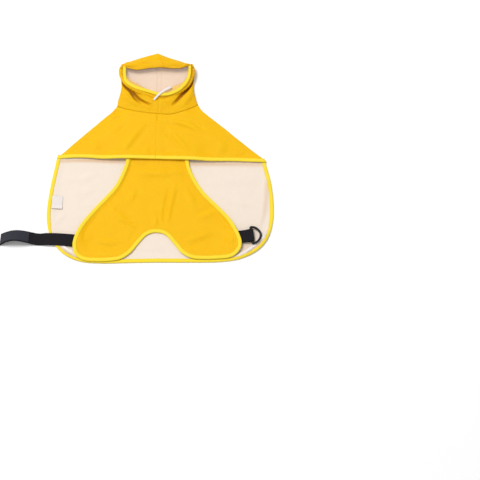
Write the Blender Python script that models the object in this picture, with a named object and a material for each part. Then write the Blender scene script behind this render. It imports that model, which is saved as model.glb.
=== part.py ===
"""Hooded dog raincoat laid flat, belly side up, on the plane z = 0.

X runs across the coat, Y from the hem to the hood and Z up. The origin is on the centre line, half
way down the back, on the surface that the coat lies on. Tables are in millimetres and every point
is turned into metres when its mesh is made.
"""

import math

import bmesh
import bpy
import numpy as np
from mathutils import Vector
from mathutils.bvhtree import BVHTree

MM = 0.001

# Driving sizes, in millimetres
CLOTH = 1.0  # coated cloth wall
LEAF = 1.0  # one leaf of the folded binding tape
SEAM_GAP = 0.3  # clearance between two sewn pieces
BINDING_WIDTH = 7.0
BINDING_RISE = CLOTH / 2 + SEAM_GAP + LEAF  # half the height of a bound edge
WEBBING = 1.3
WEBBING_WIDTH = 25.0
FOLD_RADIUS = 1.95  # of the cloth's middle where the cape turns over at the shoulders
RIM_BAND = 8.0  # strip along a bound edge that lies straight in its binding
WELD = 1e-4
REACH = 8.0  # a piece looks this far round each of its points for what it lies on

YELLOW = (0.90, 0.50, 0.03)
LEMON = (1.0, 0.72, 0.04)
BLACK = (0.03, 0.028, 0.032)
WHITE = (0.85, 0.84, 0.82)
CLEAR = (0.90, 0.89, 0.86)


# ---------------------------------------------------------------- shared ways of making pieces
def finish(name, color, roughness=0.7):
    """A plain Principled finish."""
    material = bpy.data.materials.new(name)
    material.use_nodes = True
    shader = material.node_tree.nodes["Principled BSDF"]
    shader.inputs["Base Color"].default_value = (*color, 1.0)
    shader.inputs["Roughness"].default_value = roughness
    shader.inputs["Metallic"].default_value = 0.0
    return material


def place(name, bm, material):
    """Turn a closed bmesh in millimetres into the named object in metres."""
    bmesh.ops.recalc_face_normals(bm, faces=bm.faces[:])
    if bm.calc_volume(signed=True) < 0:
        bmesh.ops.reverse_faces(bm, faces=bm.faces[:])
    for vert in bm.verts:
        vert.co.z = max(vert.co.z, 0.0)
    bmesh.ops.scale(bm, vec=(MM, MM, MM), verts=bm.verts[:])
    mesh = bpy.data.meshes.new(name)
    bm.to_mesh(mesh)
    bm.free()
    mesh.materials.append(material)
    piece = bpy.data.objects.new(name, mesh)
    bpy.context.scene.collection.objects.link(piece)
    return piece


def ease(start, end, value):
    """Smooth step from 0 at start to 1 at end; start may be the larger one."""
    t = min(1.0, max(0.0, (value - start) / (end - start)))
    return t * t * (3 - 2 * t)


def smooth_through(rows, steps):
    """Points on a smooth open curve through the rows, with a number of steps in each span."""
    rows = np.asarray(rows, float)
    ends = np.vstack([2 * rows[0] - rows[1], rows, 2 * rows[-1] - rows[-2]])
    steps = [steps] * (len(rows) - 1) if isinstance(steps, int) else steps
    points = []
    for span, count in enumerate(steps):
        before, a, b, after = ends[span : span + 4]
        for k in range(count):
            t = k / count
            points.append(
                a
                + 0.5 * t * (b - before)
                + t * t * (before - 2.5 * a + 2 * b - 0.5 * after)
                + t**3 * (1.5 * a - 1.5 * b + 0.5 * (after - before))
            )
    points.append(rows[-1])
    return np.array(points)


def eased(heights, passes=4):
    """The heights evened out along their row, and nowhere lower."""
    even = heights
    for _ in range(passes):
        even = np.convolve(np.pad(even, 1, mode="edge"), (0.25, 0.5, 0.25), mode="valid")
        even = even.clip(min=heights)
    return even


def unit(vector):
    """The vector at length one, row by row."""
    vector = np.asarray(vector, float)
    return vector / np.maximum(np.linalg.norm(vector, axis=-1, keepdims=True), 1e-12)


def grid_normals(grid):
    """Unit normals of a grid of points [column][row], from its neighbours."""
    across = np.gradient(grid, axis=0)
    along = np.gradient(grid, axis=1)
    return unit(np.cross(across, along))


def sheet(name, grid, material, thickness=CLOTH, normals=None):
    """A wall of cloth about a grid of middle points [column][row]."""
    normals = grid_normals(grid) if normals is None else normals
    columns, rows = grid.shape[:2]
    bm = bmesh.new()
    bmesh.ops.create_grid(bm, x_segments=rows - 1, y_segments=columns - 1, size=1)
    station = bm.verts.layers.int.new("station")
    bm.verts.ensure_lookup_table()
    for index, vert in enumerate(bm.verts):
        vert[station] = index
    bmesh.ops.triangulate(bm, faces=bm.faces[:], quad_method="FIXED")
    inner = bmesh.ops.extrude_face_region(bm, geom=bm.faces[:])["geom"]
    inner = {item for item in inner if isinstance(item, bmesh.types.BMVert)}
    middle = grid.reshape(-1, 3)
    out = normals.reshape(-1, 3)
    for vert in bm.verts:
        side = -0.5 if vert in inner else 0.5
        vert.co = middle[vert[station]] + side * thickness * out[vert[station]]
    return place(name, bm, material)


def sweep(name, rings, material, cap_faces=None):
    """A solid through closed rings of points [ring][point]; cap_faces lists the faces of an end."""
    count, around = rings.shape[:2]
    bm = bmesh.new()
    bmesh.ops.create_grid(bm, x_segments=around, y_segments=count - 1, size=1)
    station = bm.verts.layers.int.new("station")
    bm.verts.ensure_lookup_table()
    for index, vert in enumerate(bm.verts):
        vert.co = rings[index // (around + 1), index % (around + 1) % around]
        vert[station] = index // (around + 1) * around + index % (around + 1) % around
    bmesh.ops.triangulate(bm, faces=bm.faces[:], quad_method="FIXED")
    bmesh.ops.remove_doubles(bm, verts=bm.verts[:], dist=WELD)
    at = {vert[station]: vert for vert in bm.verts}
    for first in (0, (count - 1) * around):
        for face in cap_faces or [range(around)]:
            bm.faces.new([at[first + k] for k in face])
    bmesh.ops.triangulate(bm, faces=bm.faces[:])
    return place(name, bm, material)


def slab(name, outline, low, high, material):
    """A flat piece with an outline [x, y] between two heights given as functions of x and y."""
    bm = bmesh.new()
    face = bm.faces.new([bm.verts.new((x, y, low(x, y))) for x, y in outline])
    above = bmesh.ops.extrude_face_region(bm, geom=[face])["geom"]
    for item in above:
        if isinstance(item, bmesh.types.BMVert):
            item.co.z = high(item.co.x, item.co.y)
    bmesh.ops.triangulate(bm, faces=bm.faces[:])
    return place(name, bm, material)


# The binding's C-shaped section as three quads, to close its ends
TAPE_ENDS = ((0, 1, 6, 7), (1, 2, 5, 6), (2, 3, 4, 5))


def binding_rings(edge, band, outward=(0, 0, 1)):
    """Rings of the folded tape round a cloth edge; band is a row of points RIM_BAND inside it."""
    inward = (band - edge) / RIM_BAND
    up = unit(np.cross(np.gradient(edge, axis=0), inward))
    up *= np.sign(np.sum(up * outward, axis=1, keepdims=True))
    inner = BINDING_WIDTH - SEAM_GAP - LEAF
    slot = CLOTH / 2 + SEAM_GAP
    section = [
        (inner, BINDING_RISE),
        (-SEAM_GAP - LEAF, BINDING_RISE),
        (-SEAM_GAP - LEAF, -BINDING_RISE),
        (inner, -BINDING_RISE),
        (inner, -slot),
        (-SEAM_GAP, -slot),
        (-SEAM_GAP, slot),
        (inner, slot),
    ]
    return np.stack([edge + a * inward + b * up for a, b in section], axis=1)


class Pile:
    """What lies on the surface so far, to set the next piece down on."""

    def __init__(self):
        self.points = []
        self.faces = []
        self.tree = None

    def add_grid(self, grid, closed=False):
        """Lay a grid of surface points [column][row]."""
        columns, rows = grid.shape[:2]
        first = len(self.points)
        self.points += [Vector(point) for point in grid.reshape(-1, 3)]
        for c in range(columns - 1):
            for r in range(rows if closed else rows - 1):
                here, after = r, (r + 1) % rows
                corners = (c * rows + here, (c + 1) * rows + here)
                far = ((c + 1) * rows + after, c * rows + after)
                self.faces.append([first + i for i in corners + far])
        self.tree = BVHTree.FromPolygons(self.points, self.faces)

    def add_piece(self, piece):
        """Lay a finished object."""
        first = len(self.points)
        self.points += [vert.co / MM for vert in piece.data.vertices]
        self.faces += [[first + i for i in face.vertices] for face in piece.data.polygons]
        self.tree = BVHTree.FromPolygons(self.points, self.faces)

    def top(self, x, y, reach=REACH):
        """Highest point of the pile within reach of x, y."""
        best = 0.0
        for dx in (-reach, -reach / 2, 0, reach / 2, reach):
            for dy in (-reach, -reach / 2, 0, reach / 2, reach):
                hit = self.tree.ray_cast(Vector((x + dx, y + dy, 200)), Vector((0, 0, -1)))[0]
                best = max(best, hit.z if hit else 0.0)
        return best


# ---------------------------------------------------------------- cape
# Sections of the cape run from the neck seam to the outer edge of its binding. Columns:
# neck_x, neck_y, edge_x, edge_y. The front ones lie on the chest, from the centre-front seam out
# to the shoulder; the back ones go on from the shoulder to the centre of the back.
FRONT_RIGHT = [
    (-2.35, 182.3, -2.35, 83.8),
    (20, 182.6, 52, 83.2),
    (40, 187, 104, 79.5),
    (60, 194, 158, 77),
    (78, 204, 217, 80),
]
BACK_RIGHT = [
    (64, 196, 225, 30),
    (50, 192, 230, -27),
    (40, 190.5, 226, -62),
    (31, 189.5, 212, -89),
    (24, 189, 190, -109),
    (17, 188.5, 159, -122.5),
    (11, 188.2, 118, -129),
    (5.5, 188, 60, -130.5),
    (0, 188, 0, -130.5),
]
FRONT_LEFT = [
    (-2.65, 182.3, -2.65, 83.8),
    (-23, 184, -56, 86.5),
    (-46, 187.6, -110, 83.5),
    (-67, 193.5, -160, 85),
    (-86, 201, -206, 87),
]
BACK_LEFT = [
    (-70, 195, -213, 30),
    (-54, 192, -219, -24),
    (-43, 190.5, -216, -60),
    (-33, 189.5, -204, -88),
    (-25, 189, -183, -111),
    (-18, 188.5, -152, -126),
    (-12, 188.2, -110, -130.5),
    (-6, 188, -56, -130.5),
    (0, 188, 0, -130.5),
]
CAPE_ROWS = (0.0, 0.05, 0.12, 0.19, 0.26, 0.38, 0.52, 0.68, 0.84)  # share of the way to the rim
FOLD_ANGLES = (90, 45, 0, -45, -90)  # round the shoulder fold, from the chest to the back
FOLD_STEP = 1.15  # the fold meets the hem aslant, so a step in along it is longer
BACK_MIDDLE = CLOTH / 2
RIM_MIDDLE = BINDING_RISE
RIM_LIFT = 1.0  # the cloth's climb from the surface to the strip inside its binding

# Where the leash flap lies under the back, the cape is lifted clear of it
FLAP_HALF_WIDTH = 32.5
FLAP_END_Y = 122.0
FLAP_LIFT = 2 * BINDING_RISE + SEAM_GAP
LIFT_MARGIN = 17.0
LIFT_SLOPE = 28.0

# Ridges where the rim curls up. Columns: x, y, reach along the rim, height
RIM_RIDGES = [(206, -90, 52, 2.2), (-190, -103, 40, 1.2)]
RIDGE_AT_EDGE = 0.6  # share of a ridge's height that is left at the outer edge

CHEST_HEM_Y = 84.0
CHEST_LENGTH = 100.0
CHEST_HEM_RISE = 7.4  # middle of the chest cloth above the surface, at the hem
CHEST_NECK_RISE = 10.0  # and at the neck
CHEST_SLOPE = 42.0  # distance from the shoulder fold over which it rises
CHEST_REACH = 14.0
CHEST_SPARE = 0.25  # more room for the facets of what it lies on


def flap_lift(x, y):
    """Height that the leash flap adds under the back."""
    side = FLAP_HALF_WIDTH + LIFT_MARGIN
    end = FLAP_END_Y - LIFT_MARGIN
    return FLAP_LIFT * ease(side + LIFT_SLOPE, side, abs(x)) * ease(end - LIFT_SLOPE, end, y)


def ridge_lift(x, y):
    """Height of the curled rim's ridge."""
    return sum(
        rise * ease(reach, 0, math.hypot(x - middle_x, y - middle_y))
        for middle_x, middle_y, reach, rise in RIM_RIDGES
    )


def halved(sections):
    """The sections with one more between each two: smooth at the rim, straight at the neck."""
    rows = smooth_through(sections, 2)
    rows[1::2, :2] = (rows[:-1:2, :2] + rows[2::2, :2]) / 2
    return rows


def cape_half(front, back):
    """Plan of one half: neck points, edge points, inward plan vectors and fold angles."""
    fold = np.array(front[-1], float)
    out_of_fold = unit([-(fold[3] - fold[1]), fold[2] - fold[0]])
    out_of_fold *= np.sign(out_of_fold[1])
    columns = [((row[0], row[1]), (row[2], row[3]), None) for row in halved(front)[:-1]]
    for angle in FOLD_ANGLES:
        shift = out_of_fold * FOLD_RADIUS * (math.cos(math.radians(angle)) - 1)
        columns.append((fold[:2] + shift, fold[2:] + shift, angle))
    back_sections = halved([front[-1]] + back)[1:]
    columns += [((row[0], row[1]), (row[2], row[3]), None) for row in back_sections]
    return columns, out_of_fold


def cape_grid(columns, out_of_fold, chest_height):
    """Middle points and normals of one half of the cape, [section][row]."""
    folds = [i for i, column in enumerate(columns) if column[2] is not None]
    edge = np.array([column[1] for column in columns], float)
    tangents = np.zeros_like(edge)
    tangents[: folds[0] + 1] = unit(np.gradient(edge[: folds[0] + 1], axis=0))
    tangents[folds[-1] :] = unit(np.gradient(edge[folds[-1] :], axis=0))
    for i in folds[1:-1]:
        tangents[i] = out_of_fold
    grid, normals = [], []
    for i, (neck, rim, angle) in enumerate(columns):
        neck, rim = np.array(neck, float), np.array(rim, float)
        ray = unit(neck - rim)
        crossing = abs(tangents[i][0] * ray[1] - tangents[i][1] * ray[0])
        step = ray / crossing if angle is None else ray * FOLD_STEP
        cloth_edge = rim + step * (SEAM_GAP + LEAF)
        band = cloth_edge + step * RIM_BAND
        flat = cloth_edge + step * 2 * RIM_BAND
        plan = [neck + (flat - neck) * share for share in CAPE_ROWS] + [flat, band, cloth_edge]
        column, out = [], []
        for row, (x, y) in enumerate(plan):
            rim_row = row - (len(plan) - 3)
            rest = BACK_MIDDLE + flap_lift(x, y)
            if rim_row >= 0:
                curl = ridge_lift(x, y)
                band_middle = BACK_MIDDLE + RIM_LIFT + curl
                rest = (BACK_MIDDLE, band_middle, RIM_MIDDLE + RIDGE_AT_EDGE * curl)[rim_row]
            if angle is not None:
                turn = math.radians(angle)
                z = rest + FOLD_RADIUS * (1 + math.sin(turn))
                normal = (*(out_of_fold * math.cos(turn)), math.sin(turn))
            elif i < folds[0]:
                z = chest_height(x, y, rim_row >= 1)
                z = max(z, rest + 2 * FOLD_RADIUS)
                normal = (0, 0, 1)
            else:
                z = rest
                normal = (0, 0, -1)
            column.append((x, y, z))
            out.append(normal)
        grid.append(column)
        normals.append(out)
    grid = np.array(grid)
    grid[: folds[0], -2:, 2] = eased(grid[: folds[0], -2:, 2].max(axis=1))[:, None]
    for i in list(range(1, folds[0], 2)) + list(range(folds[-1] + 1, len(columns) - 1, 2)):
        grid[i, 0] = (grid[i - 1, 0] + grid[i + 1, 0]) / 2
    return grid, np.array(normals)


def shoulder_distance(x, y, fold):
    """How far a plan point lies inside a shoulder fold line."""
    neck_x, neck_y, edge_x, edge_y = fold
    along = unit([edge_x - neck_x, edge_y - neck_y])
    return abs((x - neck_x) * along[1] - (y - neck_y) * along[0])


def chest_height_over(pile):
    """The chest's height: its own soft rise, and never into what lies under it."""

    def height(x, y, at_rim):
        fold = FRONT_RIGHT[-1] if x > 0 else FRONT_LEFT[-1]
        along = min(1.0, max(0.0, (y - CHEST_HEM_Y) / CHEST_LENGTH))
        low = BACK_MIDDLE + 2 * FOLD_RADIUS + (RIM_MIDDLE - BACK_MIDDLE) * ease(0.5, 0.1, along)
        high = CHEST_HEM_RISE + (CHEST_NECK_RISE - CHEST_HEM_RISE) * along
        soft = low + (high - low) * ease(0, CHEST_SLOPE, shoulder_distance(x, y, fold))
        clear = (BINDING_RISE if at_rim else CLOTH / 2) + SEAM_GAP
        return max(soft, pile.top(x, y, CHEST_REACH) + clear + CHEST_SPARE)

    return height


# ---------------------------------------------------------------- belly panel
# Half sections of the belly panel's outline, in order down each side. Columns: x, y.
BELLY_REACH = 12.0
BELLY_SPARE = 0.3  # more room for the facets of what the bound edge lies on
BELLY_TOP_Y = 178.0
BELLY_TOP_HALF_WIDTH = 47.0
BELLY_LEFT = [
    (-53, 140),
    (-62, 105),
    (-68, 72),
    (-84, 33),
    (-104, 7),
    (-127, -18),
    (-150, -47),
    (-163, -72),
    (-168, -95),
]
BELLY_RIGHT = [
    (53, 140),
    (58, 105),
    (64, 70),
    (80, 42),
    (100, 15),
    (124, -12),
    (147, -41),
    (162, -68),
    (166, -90),
]
# Lower edge from the left lobe round the notch to the right lobe. Columns: x, y.
BELLY_LOWER = [
    (-162, -116),
    (-146, -126.5),
    (-120, -129),
    (-92, -128.5),
    (-70, -124.5),
    (-51, -110),
    (-34, -88),
    (-20, -73.5),
    (-3, -68.5),
    (16, -73.5),
    (32, -91),
    (49, -112),
    (68, -123),
    (92, -125.5),
    (120, -124.5),
    (143, -121),
    (159, -110),
]


def inset(outline, distance):
    """Plan points moved to the left of the outline's direction."""
    tangent = unit(np.gradient(outline, axis=0))
    return outline + distance * np.stack([-tangent[:, 1], tangent[:, 0]], axis=1)


def belly_outline():
    """The bound edge from the top left, down, round the lobes and up to the top right."""
    top_left = (-BELLY_TOP_HALF_WIDTH, BELLY_TOP_Y)
    top_right = (BELLY_TOP_HALF_WIDTH, BELLY_TOP_Y)
    rows = [top_left] + BELLY_LEFT + BELLY_LOWER + BELLY_RIGHT[::-1] + [top_right]
    side = len(BELLY_LEFT)
    return smooth_through(rows, [1] * side + [2] * (len(rows) - 1 - 2 * side) + [1] * side)


def coons(left, lower, right, upper):
    """Plan grid [column][row] between four edges; lower and upper run left to right."""
    columns, rows = len(lower), len(left)
    u = np.linspace(0, 1, columns)[:, None, None]
    v = np.linspace(0, 1, rows)[None, :, None]
    across = (1 - u) * left[None] + u * right[None]
    down = (1 - v) * upper[:, None] + v * lower[:, None]
    corners = (
        (1 - u) * (1 - v) * upper[0]
        + u * (1 - v) * upper[-1]
        + (1 - u) * v * lower[0]
        + u * v * lower[-1]
    )
    return across + down - corners


def belly_pieces(pile, cloth_finish, tape_finish):
    """The panel with its bound edge, laid on the cape's lining."""
    rim = belly_outline()
    cloth_edge = inset(rim, SEAM_GAP + LEAF)
    band = inset(rim, SEAM_GAP + LEAF + RIM_BAND)
    side = len(BELLY_LEFT)
    under = [pile.top(x, y, BELLY_REACH) for x, y in (cloth_edge + band) / 2]
    edge_z = eased(np.array(under) + SEAM_GAP + BINDING_RISE + BELLY_SPARE)
    edge_points = np.column_stack([cloth_edge, edge_z])
    band_points = np.column_stack([band, edge_z])
    upper = np.linspace(band[0], band[-1], len(rim) - 2 * side)
    right = len(rim) - side - 1
    plan = coons(band[: side + 1], band[side : right + 1], band[right:][::-1], upper)
    heights = np.empty(plan.shape[:2])
    for c in range(plan.shape[0]):
        for r in range(plan.shape[1]):
            heights[c, r] = pile.top(*plan[c, r], reach=BELLY_REACH) + SEAM_GAP + CLOTH / 2
    heights[0, :] = edge_z[: side + 1]
    heights[-1, :] = edge_z[right:][::-1]
    heights[:, -1] = edge_z[side : right + 1]
    panel = np.dstack([plan, heights])
    cloth = sheet_with_strip("belly_panel", panel, edge_points, cloth_finish)
    tape = sweep("belly_binding", binding_rings(edge_points, band_points), tape_finish, TAPE_ENDS)
    return cloth, tape


def sheet_with_strip(name, panel, edge, material):
    """A wall of cloth: a grid, joined on three sides to an outer edge that runs round them."""
    columns, rows = panel.shape[:2]
    inner = [(0, r) for r in range(rows)]
    inner += [(c, rows - 1) for c in range(1, columns)]
    inner += [(columns - 1, r) for r in range(rows - 2, -1, -1)]
    bm = bmesh.new()
    top = {}
    for c in range(columns):
        for r in range(rows):
            top[c, r] = bm.verts.new(panel[c, r])
    for c in range(columns - 1):
        for r in range(rows - 1):
            bm.faces.new((top[c, r], top[c + 1, r], top[c + 1, r + 1], top[c, r + 1]))
    outer = [bm.verts.new(point) for point in edge]
    for k in range(len(inner) - 1):
        bm.faces.new((outer[k], outer[k + 1], top[inner[k + 1]], top[inner[k]]))
    bmesh.ops.recalc_face_normals(bm, faces=bm.faces[:])
    bmesh.ops.triangulate(bm, faces=bm.faces[:], quad_method="FIXED")
    for vert in bm.verts:
        vert.co.z += CLOTH / 2
    lower = bmesh.ops.extrude_face_region(bm, geom=bm.faces[:])["geom"]
    for item in lower:
        if isinstance(item, bmesh.types.BMVert):
            item.co.z -= CLOTH
    return place(name, bm, material)


# ---------------------------------------------------------------- hood
# The hood's seams and folds. Each row is a line up one half of the hood, from the centre front
# (share 0) over the side fold (3) to the centre back (6). Columns: share, then x, y, z at six
# places above the neck seam: low, high, heel, turn, over and rim. x counts from the hood's
# centre line.
HOOD_CENTRE_X = -5.0
HOOD_LINES = [
    (
        0.0,
        (0, 189, 10.5), (0, 196, 11), (0, 202, 11),
        (0, 207, 11), (0, 212, 10.8), (0, 215.6, 9.9),
    ),
    (
        1.0,
        (27, 192, 10.5), (27.5, 200, 11), (28, 207, 11.5),
        (28, 213, 11.5), (28, 219, 11), (28, 222.8, 10.0),
    ),
    (
        2.0,
        (54, 199, 9.5), (54, 207, 10), (54, 215, 11),
        (54, 222, 11), (54, 229, 11), (54.4, 233.4, 10.0),
    ),
    (
        2.6,
        (71, 209, 7), (69, 218, 8.5), (68, 227, 9.5),
        (68, 235, 9.5), (69.5, 242, 9.3), (71.4, 247.3, 8.0),
    ),
    (
        3.0,
        (79, 214, 4.5), (75, 229, 6), (73, 242, 6.5),
        (73.5, 253, 6.5), (75, 262, 6.4), (76, 268, 6.2),
    ),
    (
        3.3,
        (74, 216, 1.5), (70, 238, 2), (70, 256, 2.5),
        (74, 272, 4), (77, 284, 6.5), (76, 290, 10),
    ),
    (
        3.65,
        (66, 216, 0.5), (64, 244, 0.5), (67, 278, 1.5),
        (72, 298, 8), (71, 296, 16.5), (68.5, 286, 20.2),
    ),
    (
        4.2,
        (52, 216, 0.5), (52, 246, 0.5), (54, 288, 1.0),
        (56, 304.5, 9), (54, 297, 17), (50, 280.5, 19.6),
    ),
    (
        5.0,
        (30, 216, 0.5), (30, 248, 0.5), (31, 296, 1.0),
        (31, 311, 9), (30, 300, 17), (28, 280, 19.0),
    ),
    (
        6.0,
        (0.15, 216, 0.5), (0.15, 250, 0.5), (0.15, 303, 1.2),
        (0.15, 317, 9.5), (0.15, 303, 17), (0.15, 279, 18.6),
    ),
]
# How far the seams lie to the right of the hood's centre line, at the same places
THROAT_SEAM_SHIFT = (2.5, 2.5, 2.5, 2.5, 2.5, 2.5)
CROWN_SEAM_SHIFT = (5, 5, 5, 7, 9, 12)
HOOD_STEPS = (1, 1, 2, 2, 1, 2)


def hood_share(column_index, columns):
    """Share from the centre front (0) to the centre back (6) for a cape section at the neck."""
    folds = [i for i, column in enumerate(columns) if column[2] is not None]
    if column_index in folds:
        return 3.0 - 0.30 * math.sin(math.radians(columns[column_index][2]))
    x = abs(columns[column_index][0][0])
    half = abs(columns[folds[2]][0][0])
    if column_index < folds[0]:
        return 2.7 * x / half
    return 6.0 - 2.7 * x / half


def hood_half(name, columns, cape, cape_normals, side, material):
    """One half of the hood, sewn to the cape's neck row."""
    lines = np.array([[line[0]] + [c for point in line[1:] for c in point] for line in HOOD_LINES])
    folds = [i for i, column in enumerate(columns) if column[2] is not None]
    used = list(range(0, folds[0], 2)) + folds + list(range(folds[-1] + 2, len(columns), 2))
    grid = []
    for i in used:
        share = hood_share(i, columns)
        if i == 0:
            share = 0.0
        span = min(int(np.searchsorted(lines[:, 0], share, side="right")) - 1, len(lines) - 2)
        before, after = lines[max(span - 1, 0)], lines[min(span + 2, len(lines) - 1)]
        a, b = lines[span], lines[span + 1]
        t = (share - a[0]) / (b[0] - a[0])
        slope_a = (b - before) / max(b[0] - before[0], 1e-6) * (b[0] - a[0])
        slope_b = (after - a) / max(after[0] - a[0], 1e-6) * (b[0] - a[0])
        row = (
            (2 * t**3 - 3 * t**2 + 1) * a
            + (t**3 - 2 * t**2 + t) * slope_a
            + (3 * t**2 - 2 * t**3) * b
            + (t**3 - t**2) * slope_b
        )
        points = row[1:].reshape(-1, 3).copy()
        points[:, 2] = np.maximum(points[:, 2], CLOTH / 2)
        points[:, 0] = HOOD_CENTRE_X + side * np.maximum(points[:, 0], SEAM_GAP / 2)
        points[:, 0] += np.array(THROAT_SEAM_SHIFT) * ease(2.6, 0, share)
        points[:, 0] += np.array(CROWN_SEAM_SHIFT) * ease(3.65, 6, share)
        seam = cape[i, 0].copy()
        seam += (SEAM_GAP + 0.02) * unit(points[0] - seam) * (1, 1, 0)
        seam[1] = max(seam[1], cape[i, 0, 1] + SEAM_GAP)
        if i == len(columns) - 1:
            seam[0] += side * SEAM_GAP / 2
        grid.append(smooth_through(np.vstack([seam, points]), list(HOOD_STEPS)))
    grid = np.array(grid)
    normals = grid_normals(grid)
    if np.sum(normals[:3, :, 2]) < 0:
        normals = -normals
    normals[:, 0] = cape_normals[used, 0]
    normals[(0, -1), :, 0] = 0
    normals = unit(normals)
    return sheet(name, grid, material, normals=normals)


# Centre line of the gathered casing on the hood's face edge, from its right end at the brow to
# the throat. Columns: x from the hood's centre line, y, z, half width, half height.
CASING = [
    (72, 284, 14.2, 3.2, 2.8),
    (74.2, 277, 13.4, 5.2, 4.4),
    (74.8, 268, 12.8, 5.4, 4.6),
    (69, 254, 12.6, 5.0, 4.2),
    (58, 242.5, 12.4, 4.4, 3.8),
    (40, 233, 11.9, 3.8, 3.2),
    (20, 225.5, 11.4, 3.5, 3.0),
    (0, 221.5, 11.0, 3.4, 2.9),
]
CASING_SIDES = 10


def casing_rings():
    """Flattened rings round the casing's centre line, from the right end to the left end."""
    right = np.array(CASING, float)
    left = right[-2::-1].copy()
    left[:, 0] *= -1
    path = smooth_through(np.vstack([right, left]), 2)
    path[:, 0] += HOOD_CENTRE_X
    along = unit(np.gradient(path[:, :3], axis=0))
    across = unit(np.cross(along, (0, 0, 1)))
    up = np.cross(across, along)
    wide, high = path[:, 3:4] * across, path[:, 4:5] * up
    turns = [2 * math.pi * k / CASING_SIDES for k in range(CASING_SIDES)]
    rings = [path[:, :3] + math.cos(turn) * wide + math.sin(turn) * high for turn in turns]
    return np.stack(rings, axis=1)


# ---------------------------------------------------------------- visor
# Outer edge of the visor's binding, from under the brow on the right, round to the left.
# Columns: x, y.
VISOR_EDGE = [
    (62.5, 281.5),
    (61.5, 271),
    (54, 257),
    (38, 240),
    (18, 229),
    (-4, 225),
    (-22, 229),
    (-48, 238),
    (-66, 252),
    (-72.3, 267),
    (-73, 281.5),
]
VISOR_WALL = 1.0
VISOR_LOW = 15.9  # middle of the sheet at the throat
VISOR_RISE = 0.012  # climb towards the brow, for each millimetre
VISOR_FOOT_Y = 225.0


def visor_height(x, y):
    """Middle of the clear sheet."""
    return VISOR_LOW + VISOR_RISE * (y - VISOR_FOOT_Y)


def bound_flat(names, rim, height, wall, cloth_finish, tape_finish):
    """A nearly flat piece whose open ends lie on one straight edge, bound on its curved edge."""
    edge = inset(rim, -(SEAM_GAP + LEAF))
    inner = inset(rim, -(SEAM_GAP + LEAF + RIM_BAND))
    piece = slab(
        names[0],
        edge,
        lambda x, y: height(x, y) - wall / 2,
        lambda x, y: height(x, y) + wall / 2,
        cloth_finish,
    )
    edge_points = np.array([(x, y, height(x, y)) for x, y in edge])
    band_points = np.array([(x, y, height(x, y)) for x, y in inner])
    tape = sweep(names[1], binding_rings(edge_points, band_points), tape_finish, TAPE_ENDS)
    return piece, tape


# ---------------------------------------------------------------- leash flap
FLAP_ROUND_RADIUS = 30.0
FLAP_ROUND_STEPS = 12
FLAP_STRAIGHT_Y = 170.0
FLAP_ROOT_Y = 187.2
FLAP_MIDDLE = BINDING_RISE


def flap_rim():
    """Outer edge of the flap's binding, from the right of its root round to the left."""
    flat = FLAP_HALF_WIDTH - FLAP_ROUND_RADIUS
    right = [(FLAP_HALF_WIDTH, FLAP_ROOT_Y), (FLAP_HALF_WIDTH, FLAP_STRAIGHT_Y)]
    for k in range(FLAP_ROUND_STEPS // 2):
        turn = math.pi * k / FLAP_ROUND_STEPS
        x = flat + FLAP_ROUND_RADIUS * math.cos(turn)
        right.append((x, FLAP_END_Y + FLAP_ROUND_RADIUS * (1 - math.sin(turn))))
    left = [(-x, y) for x, y in right[::-1]]
    return np.array(right + [(0, FLAP_END_Y)] + left, float)


# ---------------------------------------------------------------- straps, ring and small pieces
# The belly strap, from its sewn end under the left lobe to its tip. Columns: x of the far edge,
# y and z there, then x, y and z of the near edge; z is the middle of the webbing.
STRAP = [
    (-152, -75.2, 0, -154, -100, 0),
    (-167, -74, 0, -169, -99, 0),
    (-185, -72.5, 0, -187, -97.3, 0),
    (-198, -71.8, 0, -200, -96.8, 0),
    (-210, -71.3, 0, -210, -96.3, 0),
    (-222, -71.2, 0, -221, -95.9, 0),
    (-231, -71.2, 0, -230, -95.8, 0),
    (-240, -70.8, 1.6, -240, -95.4, 2.2),
    (-250, -69.6, 4.4, -251, -94, 6.2),
    (-262, -68.4, 9.2, -264, -92.6, 14),
    (-274, -67.8, 12, -277, -91.9, 19),
    (-286, -68.2, 11.5, -289, -92, 18.5),
    (-297, -69.6, 8, -299.5, -93.2, 13),
    (-305, -71, 4, -307, -94.8, 6),
    (-310, -72, 0.9, -312, -96.2, 0.9),
]
PATCH_FROM = 8  # first and last row of the strap that the hook patch covers
PATCH_TO = 13
PATCH_WALL = 1.2
PATCH_MARGIN = 0.06  # share of the webbing's width left bare on each side

RING_AXIS = np.array([187.8, -76.6])  # middle of the ring's bar
RING_REACH = 1.5
RING_TURN = math.radians(7.0)  # the loop runs out from the lobe at this angle to X
RING_WIRE = 1.8  # radius
RING_RUNNING = 0.5  # clearance of the bar in its loop
RING_HALF = 15.2  # half the bar's length, at the wire's middle
RING_SHOULDER = 5.0  # straight run of each arm
RING_DEPTH = 17.6  # bar to the bow's tip, at the wire's middle
RING_TILT = math.radians(-3.0)
RING_CORNER = 3.0  # radius between the bar and each arm
LOOP_LENGTH = 36.0
# The loop's upper layer, from the ring's bar to where it meets the lower one. Columns: reach
# back from the bar, drop from the top of the turn.
LOOP_UPPER = [(-4.0, 0.4), (-9.8, 2.75), (-15.0, 3.85)]

# Care label: x and y of its corners, the upper ones further right as it lies askew
LABEL_CORNERS = [(-210.8, -20.5), (-190, -20.5), (-187.6, 8), (-208.2, 8)]
LABEL_REACH = 0.6
LABEL_WALL = 1.0
# Middle of the throat tape, over the casing and the visor's binding. Columns: x, y, z.
TAPE_PATH = [
    (-13.5, 211.5, 12.6),
    (-9, 216, 15.4),
    (-3, 221.5, 18.4),
    (4, 227.5, 19.2),
    (13, 233.8, 19.0),
    (22, 240, 18.8),
]
TAPE_WIDTH = 6.0
TAPE_WALL = 1.0


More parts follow.
